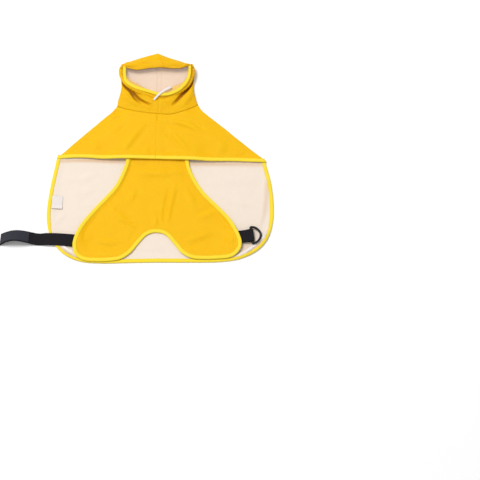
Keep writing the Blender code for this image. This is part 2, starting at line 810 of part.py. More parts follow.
def local_frame():
    """Directions out along the ring's loop and across it, in plan."""
    out = np.array([math.cos(RING_TURN), math.sin(RING_TURN), 0.0])
    across = np.array([-math.sin(RING_TURN), math.cos(RING_TURN), 0.0])
    return out, across


def strap_grid(pile):
    """Middle points of the belly strap, laid on what it crosses."""
    rows = np.array(STRAP, float)
    grid = np.zeros((len(rows), 3, 3))
    for i, (far_x, far_y, far_z, near_x, near_y, near_z) in enumerate(rows):
        far, near = np.array([far_x, far_y, far_z]), np.array([near_x, near_y, near_z])
        for j, share in enumerate((0.0, 0.5, 1.0)):
            grid[i, j] = far + (near - far) * share
        if far_z == 0:
            height = max(pile.top(point[0], point[1]) for point in grid[i]) + SEAM_GAP + WEBBING / 2
            grid[i, :, 2] = max(height, WEBBING / 2)
    return grid


def ring_loop_grid(base):
    """Middle points of the webbing folded round the ring's bar, and the bar's height."""
    out, across = local_frame()
    radius = RING_WIRE + RING_RUNNING + WEBBING / 2
    low = base + SEAM_GAP + WEBBING / 2
    high = low + WEBBING + SEAM_GAP
    path = [(-LOOP_LENGTH, low), (-LOOP_LENGTH * 0.6, low), (LOOP_UPPER[-1][0], low), (-4, low)]
    for k in range(9):
        turn = math.radians(-90 + 180 * k / 8)
        path.append((radius * math.cos(turn), low + radius + radius * math.sin(turn)))
    path += [(reach, low + 2 * radius - drop) for reach, drop in LOOP_UPPER]
    path += [(-LOOP_LENGTH * 0.6, high), (-LOOP_LENGTH, high)]
    centre = np.array([*RING_AXIS, 0.0])
    grid = np.zeros((len(path), 2, 3))
    for i, (reach, z) in enumerate(path):
        for j, side in enumerate((-0.5, 0.5)):
            grid[i, j] = centre + out * reach + across * side * WEBBING_WIDTH + (0, 0, z)
    return grid, low + radius


def d_ring(axis_z, material):
    """The ring: a round bar, two short arms and a bow, in one wire about the bar's own origin."""
    bow = RING_DEPTH - RING_SHOULDER
    arm = []
    for k in range(5):
        turn = math.pi * (1 - k / 8)
        arm.append(
            (RING_CORNER * (1 + math.cos(turn)), RING_HALF - RING_CORNER * (1 - math.sin(turn)))
        )
    for k in range(1, 6):
        turn = math.pi * (0.5 - k / 12)
        arm.append((RING_SHOULDER + bow * math.cos(turn) ** 0.9, RING_HALF * math.sin(turn)))
    outline = arm + [(RING_DEPTH, 0.0)] + [(reach, -side) for reach, side in arm[::-1]]
    curve = bpy.data.curves.new("d_ring", "CURVE")
    curve.dimensions = "3D"
    curve.bevel_depth = RING_WIRE * MM
    curve.bevel_resolution = 2
    spline = curve.splines.new("POLY")
    spline.points.add(len(outline) - 1)
    spline.use_cyclic_u = True
    for point, (reach, side) in zip(spline.points, outline):
        point.co = (reach * MM, side * MM, 0.0, 1.0)
    ring = bpy.data.objects.new("d_ring", curve)
    ring.location = (RING_AXIS[0] * MM, RING_AXIS[1] * MM, axis_z * MM)
    ring.rotation_euler = (0, -RING_TILT, RING_TURN)
    curve.materials.append(material)
    bpy.context.scene.collection.objects.link(ring)
    return ring


# ---------------------------------------------------------------- the coat
for old in list(bpy.data.objects):
    bpy.data.objects.remove(old, do_unlink=True)

cloth_yellow = finish("coated_cloth", YELLOW, 0.6)
tape_lemon = finish("lemon_binding", LEMON, 0.6)
web_black = finish("black_webbing", BLACK, 0.85)
hook_black = finish("black_hook_tape", BLACK, 0.9)
plastic_black = finish("black_plastic", BLACK, 0.35)
tape_white = finish("white_tape", WHITE, 0.8)
clear_sheet = finish("clear_sheet", CLEAR, 0.15)

bound_flat(
    ("leash_flap", "flap_binding"),
    flap_rim(),
    lambda x, y: FLAP_MIDDLE,
    CLOTH,
    cloth_yellow,
    tape_lemon,
)

# The back of the cape goes down first, then what lies on it, then the chest is folded over
halves = [cape_half(FRONT_RIGHT, BACK_RIGHT), cape_half(FRONT_LEFT, BACK_LEFT)]
first_pile = Pile()
for columns, out_of_fold in halves:
    grid, _ = cape_grid(columns, out_of_fold, lambda x, y, at_rim: 0.0)
    start = 2 * len(FRONT_RIGHT) - 2 + len(FOLD_ANGLES)
    back = grid[start - 1 :]
    first_pile.add_grid(back + (0, 0, CLOTH / 2))
    rings = binding_rings(back[:, -1], back[:, -2])
    first_pile.add_grid(rings, closed=True)

strap = strap_grid(first_pile)
strap_piece = sheet("belly_strap", strap, web_black, WEBBING)
patch = strap[PATCH_FROM : PATCH_TO + 1].copy()
patch_normals = grid_normals(strap)[PATCH_FROM : PATCH_TO + 1]
patch_normals *= np.sign(patch_normals[..., 2:3])
margin = (patch[:, 2:3] - patch[:, 0:1]) * PATCH_MARGIN
patch[:, 0:1] += margin
patch[:, 2:3] -= margin
patch += patch_normals * (WEBBING / 2 + SEAM_GAP + PATCH_WALL / 2)
sheet("hook_patch", patch, hook_black, PATCH_WALL, patch_normals)

out, across = local_frame()
under_loop = max(
    first_pile.top(*(RING_AXIS + out[:2] * reach + across[:2] * side), RING_REACH)
    for reach in (4, -2, -12, -24, -LOOP_LENGTH)
    for side in (-WEBBING_WIDTH / 2, 0, WEBBING_WIDTH / 2)
)
under_ring = max(
    first_pile.top(*(RING_AXIS + out[:2] * reach + across[:2] * side), RING_REACH)
    for reach in (0, RING_DEPTH / 2, RING_DEPTH)
    for side in (-RING_HALF, 0, RING_HALF)
)
ring_drop = RING_DEPTH * math.sin(-RING_TILT)
loop_base = max(under_loop, under_ring + ring_drop - RING_RUNNING - WEBBING)
loop_grid, ring_axis_z = ring_loop_grid(loop_base)
loop_piece = sheet("ring_loop", loop_grid, web_black, WEBBING)
d_ring(ring_axis_z, plastic_black)

slab(
    "care_label",
    LABEL_CORNERS,
    lambda x, y: first_pile.top(x, y, LABEL_REACH) + SEAM_GAP,
    lambda x, y: first_pile.top(x, y, LABEL_REACH) + SEAM_GAP + LABEL_WALL,
    tape_white,
)

first_pile.add_piece(strap_piece)
first_pile.add_piece(loop_piece)
belly, belly_tape = belly_pieces(first_pile, cloth_yellow, tape_lemon)

belly_pile = Pile()
belly_pile.add_piece(belly)
belly_pile.add_piece(belly_tape)
chest_height = chest_height_over(belly_pile)
full = []
for columns, out_of_fold in halves:
    full.append(cape_grid(columns, out_of_fold, chest_height))
right_grid, right_normals = full[0]
left_grid, left_normals = full[1]
cape = np.vstack([right_grid, left_grid[-2::-1]])
cape_normals = np.vstack([right_normals, left_normals[-2::-1]])
sheet("cape", cape, cloth_yellow, normals=cape_normals)

cape_rings = binding_rings(cape[:, -1], cape[:, -2], cape_normals[:, -1])
sweep("cape_binding", cape_rings, tape_lemon, TAPE_ENDS)

hood_half("hood_right", halves[0][0], right_grid, right_normals, 1, cloth_yellow)
hood_half("hood_left", halves[1][0], left_grid, left_normals, -1, cloth_yellow)
sweep("hood_casing", casing_rings(), cloth_yellow)

bound_flat(
    ("visor", "visor_binding"),
    smooth_through(VISOR_EDGE, 2),
    visor_height,
    VISOR_WALL,
    clear_sheet,
    tape_lemon,
)

tape_path = smooth_through(TAPE_PATH, 2)
sideways = unit(np.cross(np.gradient(tape_path, axis=0), (0, 0, 1)))
half_tape = sideways * TAPE_WIDTH / 2
tape_grid = np.stack([tape_path - half_tape, tape_path + half_tape], axis=1)
sheet("throat_tape", tape_grid, tape_white, TAPE_WALL)
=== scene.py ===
"""Looks of the hooded dog raincoat, laid flat with its belly side up.

Tables are in millimetres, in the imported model's frame: X across the coat, Y along its back to the
hood, Z up from the surface that it lies on. Meshes are made in metres.
"""

import math

import bmesh
import bpy
import numpy as np
from mathutils import Matrix, Vector, noise
from mathutils.bvhtree import BVHTree


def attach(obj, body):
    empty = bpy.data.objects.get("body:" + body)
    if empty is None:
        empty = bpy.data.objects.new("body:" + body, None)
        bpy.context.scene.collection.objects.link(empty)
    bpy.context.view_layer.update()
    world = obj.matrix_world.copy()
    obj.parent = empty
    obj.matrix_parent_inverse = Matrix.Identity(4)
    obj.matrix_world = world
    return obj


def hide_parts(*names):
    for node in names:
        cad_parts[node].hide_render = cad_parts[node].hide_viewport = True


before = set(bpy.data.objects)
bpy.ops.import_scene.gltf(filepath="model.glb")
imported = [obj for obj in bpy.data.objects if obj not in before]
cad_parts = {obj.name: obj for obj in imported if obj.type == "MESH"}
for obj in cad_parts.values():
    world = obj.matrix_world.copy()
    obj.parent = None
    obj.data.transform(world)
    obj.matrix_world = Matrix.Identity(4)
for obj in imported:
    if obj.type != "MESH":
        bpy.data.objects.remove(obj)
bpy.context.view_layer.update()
MM = 0.001

# -------- camera, floor and light
# The coat is seen from nearly overhead on a white sweep. One large soft light stands at its upper
# left and an even white room fills the rest, so shadows are short, grey and soft.
ELEVATION = math.radians(72)
AIM = Vector((0.164, -0.0841, 0.0))
CAMERA_AWAY = 3.0
FLOOR_REACH = 6.0
FLOOR_DROP = 0.0002
KEY_AT = Vector((-1.5, 1.2, 4.4))
KEY_AIM = Vector((0, 0.05, 0))
camera = bpy.data.objects.new("camera", bpy.data.cameras.new("camera"))
camera.data.lens = 113.47
camera.data.sensor_width = 36
camera.location = AIM + CAMERA_AWAY * Vector((0, -math.cos(ELEVATION), math.sin(ELEVATION)))
camera.rotation_euler = (math.pi / 2 - ELEVATION, 0, 0)
bpy.context.scene.collection.objects.link(camera)
bpy.context.scene.camera = camera

bm = bmesh.new()
bmesh.ops.create_grid(bm, x_segments=1, y_segments=1, size=FLOOR_REACH)
bmesh.ops.translate(bm, vec=(0, 0, -FLOOR_DROP), verts=bm.verts[:])
floor_mesh = bpy.data.meshes.new("floor")
bm.to_mesh(floor_mesh)
bm.free()
floor = bpy.data.objects.new("floor", floor_mesh)
bpy.context.scene.collection.objects.link(floor)
white_sweep = bpy.data.materials.new("white_sweep")
white_sweep.use_nodes = True
shader = white_sweep.node_tree.nodes["Principled BSDF"]
shader.inputs["Base Color"].default_value = (0.9, 0.9, 0.9, 1)
shader.inputs["Roughness"].default_value = 1.0
shader.inputs["Specular IOR Level"].default_value = 0.0
floor_mesh.materials.append(white_sweep)

key = bpy.data.objects.new("key", bpy.data.lights.new("key", "AREA"))
key.data.shape = "DISK"
key.data.size = 1.8
key.data.energy = 161
key.location = KEY_AT
key.rotation_euler = (KEY_AIM - KEY_AT).to_track_quat("-Z", "Y").to_euler()
bpy.context.scene.collection.objects.link(key)

room = bpy.data.worlds.new("room")
room.use_nodes = True
white_room = room.node_tree.nodes["Background"]
white_room.inputs["Color"].default_value = (1.0, 1.0, 1.0, 1.0)
white_room.inputs["Strength"].default_value = 0.6
bpy.context.scene.world = room
bpy.context.scene.view_settings.view_transform = "Standard"

# -------- cape
# The cape is one piece of coated yellow cloth with a brushed cream inner face. Its back lies on
# the surface, both wings are folded over at the slanted shoulders and meet in the seam down the
# chest. Sections run from the neck seam to the outer edge of the binding, from the chest seam out
# to the shoulder and on to the middle of the back. Columns: neck x, neck y, edge x, edge y.
FRONT_RIGHT = [
    (-5.3, 182.4, -5.82, 84.2), (20, 180.6, 52, 82.3), (40, 185.4, 104, 81.0),
    (60, 193.6, 158, 81.2), (78, 204, 217, 80),
]
BACK_RIGHT = [
    (64, 196, 227.5, 30), (50, 192, 231, -27), (40, 190.5, 226, -63), (31, 189.5, 213.5, -90.5),
    (24, 189, 191.5, -111), (17, 188.5, 159, -125), (11, 188.2, 118, -130.3), (5.5, 188, 60, -131),
    (0, 188, 0, -130.8),
]
FRONT_LEFT = [
    (-5.4, 182.4, -5.92, 84.2), (-23, 184, -56, 85.0), (-46, 187.6, -110, 85.8),
    (-67, 193.5, -160, 89.4), (-86, 201, -206.5, 88.5),
]
BACK_LEFT = [
    (-70, 195, -215.5, 30), (-54, 192, -221, -24), (-43, 190.5, -217.5, -61),
    (-33, 189.5, -206, -90), (-25, 189, -185, -113.5), (-18, 188.5, -152, -129),
    (-12, 188.2, -110, -132.8), (-6, 188, -56, -131.8), (0, 188, 0, -130.8),
]
CLOTH_WALL = 0.9
CLOTH_LOWEST = CLOTH_WALL / 2 + 0.02  # middle of cloth that lies on the surface
RIM_LOWEST = 1.75  # middle of the back's edge, which lies in its tape
TAPE_OVERHANG = 1.3  # the binding's outer edge stands this far outside the cloth's
FOLD_RADIUS = 1.95
FOLD_TURNS = np.radians([90, 68, 45, 22, 0, -22, -45, -68, -90])
# The shoulder folds bow in this far at these shares of the way from the neck to the hem
BOW_AT = (0, 0.05, 0.1, 0.2, 0.35, 0.55, 0.75, 1)
BOW_RIGHT = (0, 3.2, 4.6, 4.2, 2.9, 1.9, 0.2, 0)
BOW_LEFT = (0, 1.2, 1.8, 1.9, 1.9, 1.3, 0.2, 0)
BOW_REACH = 45.0
CAPE_ROWS = np.concatenate([np.linspace(0, 0.88, 74), np.linspace(0.88, 1, 24)[1:]])
# Creases: along each one, x, y, height (down if negative) and reach to each side
CHEST_CREASES = [
    [(-62, 93, 0, 8), (-54, 109, -1.2, 10), (-44, 124, -1.2, 10), (-34, 139, -1.0, 10),
     (-19, 159, 0, 7)],
    [(-72, 97, 0, 7), (-64, 114, 1.7, 9), (-52, 131, 1.7, 9), (-40, 149, 1.0, 9), (-27, 164, 0, 7)],
    [(54, 95, 0, 7), (46, 103, -1.2, 8), (34, 117, -1.6, 8), (24, 129.5, -1.4, 8), (3, 154, 0, 6)],
    [(63, 98, 0, 6), (53, 108, 1.9, 7), (41, 123, 2.1, 8), (29, 138, 1.4, 8), (14, 155, 0, 6)],
    [(6, 164, 0, 5), (20, 159, -1.0, 6), (45, 152, -1.5, 7), (64, 145, -1.2, 7), (96, 130, 0, 6)],
    [(18, 171, 0, 5), (42, 163, 2.1, 6), (66, 154, 1.7, 8), (94, 140, 0, 6)],
    [(60, 169, 0, 5), (78, 157, -1.1, 6), (94, 144, 0, 6)],
    [(-62, 169, 0, 5), (-70, 155, -1.1, 7), (-83, 143, -0.9, 7), (-98, 131, 0, 6)],
    [(-105, 174, 0, 4), (-96, 182, -2.2, 6), (-86, 188, -2.1, 6), (-75, 183, 0, 5)],
    [(-100, 170, 0, 4), (-90, 178, 2.2, 6), (-78, 177, 0, 5)],
    [(-120, 96, 0, 9), (-128, 112, 2.1, 12), (-130, 130, 0, 10)],
    [(118, 92, 0, 9), (126, 108, 2.1, 12), (128, 126, 0, 10)],
    [(150, 84, 0, 6), (168, 92, -1.2, 9), (186, 88, 0, 6)],
    [(-24, 88, 0, 6), (-26, 100, 1.8, 10), (-22, 116, 0, 8)],
    [(16, 87, 0, 6), (17, 96, -0.8, 9), (14, 110, 0, 8)],
]
# The chest seam sinks in a groove. Its allowance is pressed to the right under the cloth
CHEST_SEAM = -5.6
CHEST_GROOVE = 0.25
SEAM_REACH = 0.9
ALLOWANCE = 12.0
ALLOWANCE_RISE = 0.45
SIDES_SINK = 2.4  # the chest sinks this much beside its middle, towards the hem
BACK_CREASES = [
    [(219, 64, 0, 4, -0.5), (216, 36, 1.8, 6), (214, 4, 2.6, 7), (211, -27, 2.0, 7),
     (207, -52, 0, 5)],
    [(219.5, -59, 0, 3, 0.3, 0.6), (215, -71, 2.8, 4.6), (207.5, -80, 4.3, 5),
     (197, -91, 4.7, 5), (186.5, -101, 4.5, 5), (175.5, -109, 3.5, 4.8),
     (163.5, -115.5, 2.5, 4.6), (152, -120.5, 1.2, 4.2), (140, -123, 0, 3)],
    [(-186, -96.5, 0, 3, 0.2, 0.4), (-182, -101.3, 2.6, 4.6), (-175, -107.3, 3.6, 5),
     (-167, -112, 3.2, 5), (-153.5, -118, 1.4, 4.5), (-140, -121.5, 0, 3)],
    [(-120, 60, 0, 8), (-140, 48, 1.2, 12), (-166, 44, 0.9, 12), (-190, 48, 0, 8)],
    [(-118, 28, 0, 6), (-146, 16, 0.9, 12), (-172, 14, 0, 10)],
    [(110, 62, 0, 8), (140, 44, 1.2, 12), (172, 38, 0.9, 12), (198, 40, 0, 8)],
    [(140, 8, 0, 8), (166, -6, 1.0, 12), (196, -12, 0, 8)],
    [(-178, -24, 0, 8), (-194, -38, 1.2, 10), (-202, -54, 0, 6)],
    [(-30, -104, 0, 8), (-4, -98, 0.8, 12), (24, -104, 0, 8)],
]
# Painted shade, where the lining turns deeper in colour in folds and close under yellow cloth: x,
# y, share, reach
LINING_SHADES = [
    [(217, -66, 0, 1.4), (212.5, -77, 0.75, 1.7), (202.5, -91.5, 0.9, 1.9), (191, -102.5, 0.9, 1.9),
     (179.5, -110.5, 0.8, 1.8), (166, -118, 0.7, 1.7), (153, -123, 0.5, 1.5)],
    [(219, 66, 0.1, 5), (217, 30, 0.28, 6.5), (214, -10, 0.32, 6.5), (208, -44, 0.2, 6),
     (203, -60, 0, 5)],
    [(-193.5, -93, 0, 1.4), (-186, -102.5, 0.5, 1.6), (-175.5, -112, 0.6, 1.7),
     (-164, -119.5, 0.5, 1.7)],
    [(-214, 82, 0.5, 5), (-150, 84, 0.65, 6), (-100, 82, 0.65, 6), (-50, 80, 0.5, 6)],
    [(34, 76, 0.5, 6), (100, 76, 0.6, 6), (160, 76, 0.6, 6), (222, 74, 0.45, 5)],
    [(185, -58, 0.05, 9), (190, -84, 0.25, 10), (172, -100, 0.3, 10)],
]
# Painted highlight where light catches the lining on the crests beside the hem's tape, in the same
# columns
LINING_LIGHTS = [
    [(221, -66, 0.2, 1.8), (215.5, -73, 0.8, 2.2), (206, -84, 1, 2.4), (194, -95.5, 1, 2.4),
     (184, -104.5, 1, 2.3), (172.5, -112.5, 0.9, 2.2), (161, -118.5, 0.7, 2)],
    [(-192, -93, 0.6, 2), (-183.5, -99.5, 1, 2.4), (-173.5, -106, 1, 2.4), (-163, -112, 0.7, 2.2)],
]
# The ring lies on the lining and presses it down: middle of the place, greatest height there,
# and the distances between which the lining is let rise again
UNDER_RING = (190, -77, 4.05, 20.5, 26)


def through(rows, at):
    """Points on a smooth open curve through rows; at is a number of steps a span, or places."""
    rows = np.asarray(rows, float)
    if isinstance(at, int):
        at = np.linspace(0, len(rows) - 1, at * (len(rows) - 1) + 1)
    ends = np.vstack([2 * rows[0] - rows[1], rows, 2 * rows[-1] - rows[-2]])
    span = np.minimum(np.asarray(at).astype(int), len(rows) - 2)
    t = (np.asarray(at) - span)[:, None]
    before, a, b, after = (ends[span + k] for k in range(4))
    turn = before - 2.5 * a + 2 * b - 0.5 * after
    return a + 0.5 * t * (b - before) + t**2 * turn + t**3 * 0.5 * (3 * (a - b) + after - before)


def unit(vectors):
    """Vectors at length one."""
    return vectors / np.maximum(np.linalg.norm(vectors, axis=-1, keepdims=True), 1e-9)


def between(first, last, share):
    """Places at a share of the way from the first ones to the last."""
    return (1 - share) * first + share * last


def down(count, first=0.0, last=1.0):
    """Even values from the first to the last for the places down a grid's columns."""
    return np.linspace(first, last, count)[None, :, None]


def ease(start, end, value):
    """Smooth step from 0 at start to 1 at end."""
    t = np.clip((value - start) / (end - start), 0, 1)
    return t * t * (3 - 2 * t)


def softened(heights, passes):
    """A grid of heights [column][row], evened out with its neighbours."""
    for _ in range(passes):
        wide = np.pad(heights, 1, mode="edge")
        across = (wide[:-2, 1:-1] + wide[2:, 1:-1]) / 2
        along = (wide[1:-1, :-2] + wide[1:-1, 2:]) / 2
        heights = (2 * heights + across + along) / 4
    return heights


def wall_heights(node, plan, from_above=True, passes=6):
    """Middle of a CAD node's upper or lower wall over a grid of plan points [column][row]."""
    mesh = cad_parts[node].data
    corners = [vert.co for vert in mesh.vertices]
    tree = BVHTree.FromPolygons(corners, [face.vertices for face in mesh.polygons])
    way = Vector((0, 0, -1 if from_above else 1))
    heights = np.full(plan.shape[:2], np.nan)
    for place in np.ndindex(heights.shape):
        x, y = plan[place][:2] * MM
        first = tree.ray_cast(Vector((x, y, -0.2 * way.z)), way)[0]
        second = tree.ray_cast(first + way * 1e-5, way)[0] if first else None
        if second:
            heights[place] = (first.z + second.z) / 2 / MM
    for line in list(heights) + list(heights.T):
        found = np.flatnonzero(~np.isnan(line))
        if len(found):
            line[:] = np.interp(np.arange(len(line)), found, line[found])
    return softened(heights, passes)


def creased(plan, creases):
    """Height that listed creases add over plan points.

    A fifth column leans a crease, which is steeper on the left of its direction above 0. A sixth
    is the share of it that is a pressed fold with steep walls.
    """
    x, y = plan[..., 0], plan[..., 1]
    total = np.zeros(x.shape)
    for crease in creases:
        rows = through([row[:4] for row in crease], 5)
        lean, tucked = (*crease[0][4:], 0.0, 0.0)[:2]
        nearest = np.full(x.shape, 1.0)
        height = np.zeros(x.shape)
        for a, b in zip(rows[:-1], rows[1:]):
            run = b[:2] - a[:2]
            t = np.clip(((x - a[0]) * run[0] + (y - a[1]) * run[1]) / (run @ run), 0, 1)
            away = np.hypot(x - a[0] - t * run[0], y - a[1] - t * run[1])
            on_left = np.sign(run[0] * (y - a[1]) - run[1] * (x - a[0]))
            reach = a[3] + t * (b[3] - a[3])
            away = away / (reach * (1 - lean * on_left))
            height = np.where(away < nearest, a[2] + t * (b[2] - a[2]), height)
            nearest = np.minimum(away, nearest)
        total += height * ((1 - tucked) * (1 - nearest**2) ** 2 + tucked * ease(0.85, 0.3, nearest))
    return total


def rumpled(plan, size, height, seed):
    """Slow uneven lift of cloth that lies loose, about size across."""
    flat = plan.reshape(-1, plan.shape[-1])
    lift = [noise.noise(Vector((point[0] / size, point[1] / size, seed))) for point in flat]
    return height * np.array(lift).reshape(plan.shape[:-1])


def run_lengths(points):
    """Metres along each grid line [column][row], as UV places for the threads."""
    across = np.linalg.norm(np.diff(points, axis=0), axis=-1).mean(axis=1)
    along = np.linalg.norm(np.diff(points, axis=1), axis=-1).mean(axis=0)
    u = np.concatenate([[0], np.cumsum(across)])
    v = np.concatenate([[0], np.cumsum(along)])
    return np.dstack(np.meshgrid(u, v, indexing="ij")) * MM


def smooth_piece(name, bm, finishes):
    """An object made from the bmesh, with smooth faces and these finishes."""
    for face in bm.faces:
        face.smooth = True
    mesh = bpy.data.meshes.new(name)
    bm.to_mesh(mesh)
    bm.free()
    for finish in finishes:
        mesh.materials.append(finish)
    piece = bpy.data.objects.new(name, mesh)
    bpy.context.scene.collection.objects.link(piece)
    return piece


def grid_piece(name, points, finishes, wall=0.0, threads=None, flip=False, closed=False, painted_light=0):
    """A smooth sheet through points [column][row], with a wall of that thickness about them.

    The painted light is painted shade on the first finish where it is above 0, and on the second
    where it is below 0; the second may also take it above 0 as painted highlight.
    """
    columns, rows = points.shape[:2]
    bm = bmesh.new()
    bmesh.ops.create_grid(bm, x_segments=rows - 1, y_segments=columns - 1, size=1)
    bm.verts.ensure_lookup_table()
    depth = bm.verts.layers.float.new("painted_light")
    depths = np.broadcast_to(painted_light, (columns, rows)).ravel()
    for vert, point, deep in zip(bm.verts, points.reshape(-1, 3), depths):
        vert.co = Vector(point) * MM
        vert[depth] = deep
    layer = bm.loops.layers.uv.new("threads")
    places = (run_lengths(points) if threads is None else threads).reshape(-1, 2)
    for face in bm.faces:
        for loop in face.loops:
            loop[layer].uv = places[loop.vert.index]
    if closed:
        bmesh.ops.remove_doubles(bm, verts=bm.verts[:], dist=1e-6)
    if flip:
        bmesh.ops.reverse_faces(bm, faces=bm.faces[:])
    piece = smooth_piece(name, bm, finishes)
    if wall:
        skin = piece.modifiers.new("wall", "SOLIDIFY")
        skin.thickness = wall * MM
        skin.offset = 0
        skin.material_offset = len(finishes) - 1
    return piece


def stand_for(piece, node, body="coat"):
    """The piece moves with its body and stands for its CAD node, which is hidden."""
    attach(piece, body)
    if node:
        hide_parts(node)


def shader_of(finish):
    """The node that a finish's values and colours go into."""
    return finish.node_tree.nodes["Principled BSDF"]


def add_node(finish, kind, links=None, **values):
    """A node with these settings; values named after sockets are set there."""
    made = finish.node_tree.nodes.new(kind)
    for name, value in values.items():
        if hasattr(made, name):
            setattr(made, name, value)
        else:
            made.inputs[name].default_value = value
    for socket, source in (links or {}).items():
        finish.node_tree.links.new(source, made.inputs[socket])
    return made


def mixed(finish, share, plain, other):
    """The base colour goes from plain, a colour or a socket, to the other by a share."""
    mix = add_node(finish, "ShaderNodeMix", {0: share}, data_type="RGBA")
    if isinstance(plain, tuple):
        mix.inputs[6].default_value = (*plain, 1)
    else:
        finish.node_tree.links.new(plain, mix.inputs[6])
    mix.inputs[7].default_value = (*other, 1)
    finish.node_tree.links.new(mix.outputs[2], shader_of(finish).inputs["Base Color"])


def nap(finish, size, detail=2.0):
    """Fine unevenness of about that size in metres."""
    place = add_node(finish, "ShaderNodeTexCoord").outputs["Object"]
    made = add_node(finish, "ShaderNodeTexNoise", {"Vector": place}, Scale=1 / size, Detail=detail)
    return made.outputs["Fac"]


def ridges(finish, direction, pitch, turn=0.0):
    """Even ridges across the UV map, one for each pitch in metres."""
    place = add_node(finish, "ShaderNodeTexCoord").outputs["UV"]
    turned = add_node(finish, "ShaderNodeMapping", {"Vector": place}, Rotation=(0, 0, turn))
    links = {"Vector": turned.outputs["Vector"]}
    scale = math.pi / 10 / pitch
    wave = add_node(finish, "ShaderNodeTexWave", links, bands_direction=direction, Scale=scale)
    return wave.outputs["Fac"]


def joined(finish, operation, first, second):
    """Two heights put together by a Math node."""
    made = add_node(finish, "ShaderNodeMath", {0: first}, operation=operation)
    if isinstance(second, float):
        made.inputs[1].default_value = second
    else:
        finish.node_tree.links.new(second, made.inputs[1])
    return made.outputs[0]


def raised(finish, height, distance):
    """Bump from a height of 0 to 1 over a distance in metres."""
    bump = add_node(finish, "ShaderNodeBump", {"Height": height}, Distance=distance)
    finish.node_tree.links.new(bump.outputs["Normal"], shader_of(finish).inputs["Normal"])


def paint_light(finish, colour, sign=1.0):
    """Painted light or shade: the base colour turns to this one with the mesh's attribute
    painted_light, taken of that sign.
    """
    plain = shader_of(finish).inputs["Base Color"].links[0].from_socket
    painted_light = add_node(finish, "ShaderNodeAttribute", attribute_name="painted_light").outputs["Fac"]
    mixed(finish, joined(finish, "MULTIPLY", painted_light, sign), plain, colour)


def new_finish(name, light, deep, size, rough, specular, sheen=0.0, detail=3.0):
    """A material in two close shades of one colour, in patches of about that size in metres."""
    finish = bpy.data.materials.new(name)
    finish.use_nodes = True
    values = shader_of(finish).inputs
    values["Roughness"].default_value = rough
    values["Specular IOR Level"].default_value = specular
    values["Sheen Weight"].default_value = sheen
    values["Sheen Roughness"].default_value = 0.4
    mixed(finish, nap(finish, size, detail), deep, light)
    return finish


# Coated cloth: a fine even weave drowned in its coating, with a soft satin sheen
coated = new_finish("coated_cloth", (0.85, 0.475, 0.0016), (0.825, 0.452, 0.001), 0.045, 0.5, 0.12)
shader_of(coated).inputs["Subsurface Weight"].default_value = 0.2
shader_of(coated).inputs["Subsurface Radius"].default_value = (1.0, 0.5, 0.1)
shader_of(coated).inputs["Subsurface Scale"].default_value = 0.0015
# Painted shade: deep brown where the painted light is above 0, in pressed folds, seams and under
# the casing
paint_light(coated, (0.33, 0.12, 0.0006))
threads = joined(coated, "MULTIPLY", ridges(coated, "X", 0.00075), ridges(coated, "Y", 0.00075))
grain = joined(coated, "MULTIPLY", nap(coated, 0.004, 4.0), 1.6)
raised(coated, joined(coated, "ADD", threads, grain), 0.00012)


def pile_finish(name, light, deep):
    """Brushed inner face: short cream pile with small tufts and no weave, with painted warm shade
    in its folds.
    """
    finish = new_finish(name, light, deep, 0.012, 0.95, 0.08, sheen=0.05, detail=5.0)
    raised(finish, joined(finish, "ADD", nap(finish, 0.0016, 3.0), nap(finish, 0.007, 3.0)), 0.0003)
    # Painted warm shade where the painted light is below 0
    paint_light(finish, (0.60, 0.36, 0.17), -1.0)
    return finish


brushed = pile_finish("brushed_lining", (0.785, 0.685, 0.592), (0.755, 0.65, 0.55))
# Painted highlight on the lining's crests, where the painted light is above 0
paint_light(brushed, (0.93, 0.90, 0.90))


def cape_half(front, back):
    """Plan of one half: the sections of its front and back, and the way out over the fold."""
    near_seam = [0, 0.012, 0.025, 0.05, 0.1, 0.17, 0.25]
    spans = len(front) - 1
    at = near_seam + list(np.linspace(1 / 3, spans, 11 * spans - 1))
    front_rows = through(front, np.array(at))
    back_rows = through([front[-1]] + back, 10)
    fold = np.array(front[-1], float)
    out = unit(np.array([fold[1] - fold[3], fold[2] - fold[0]]))
    return front_rows, back_rows, out * np.sign(out[1])


def section_points(rows):
    """Plan grid from the neck to the cloth's edge, which lies inside the binding's."""
    neck, rim = rows[:, None, :2], rows[:, None, 2:]
    tangent = unit(np.gradient(rows[:, 2:], axis=0))
    ray = unit(rows[:, :2] - rows[:, 2:])
    crossing = np.abs(tangent[:, 0] * ray[:, 1] - tangent[:, 1] * ray[:, 0])
    step = (ray / crossing[:, None])[:, None]
    share = CAPE_ROWS[None, :, None]
    return neck + (rim + step * TAPE_OVERHANG - neck) * share


def chest_height(chest):
    """The chest's middle surface: on the solid's form, with its folds, seam and lower sides."""
    height = wall_heights("cape", chest, True, 8)
    height[:, -10:] = height[:, -11:-10]
    above_hem = 0.35 + 0.65 * ease(0, 16, np.linalg.norm(chest - chest[:, -1:], axis=2))
    height += above_hem * (creased(chest, CHEST_CREASES) + rumpled(chest, 26, 0.35, 1.0))
    off_centre = np.abs(chest[..., 0] + 5)
    low_sides = ease(76, 104, off_centre) * ease(214, 180, off_centre)
    height -= SIDES_SINK * low_sides * ease(150, 96, chest[..., 1])
    beside_seam = np.abs(chest[..., 0] - CHEST_SEAM)
    height -= CHEST_GROOVE * np.exp(-((beside_seam / SEAM_REACH) ** 2))
    on_right = chest[..., 0] > CHEST_SEAM + 0.1
    return height + ALLOWANCE_RISE * on_right * ease(ALLOWANCE + 1.5, ALLOWANCE - 1.5, beside_seam)


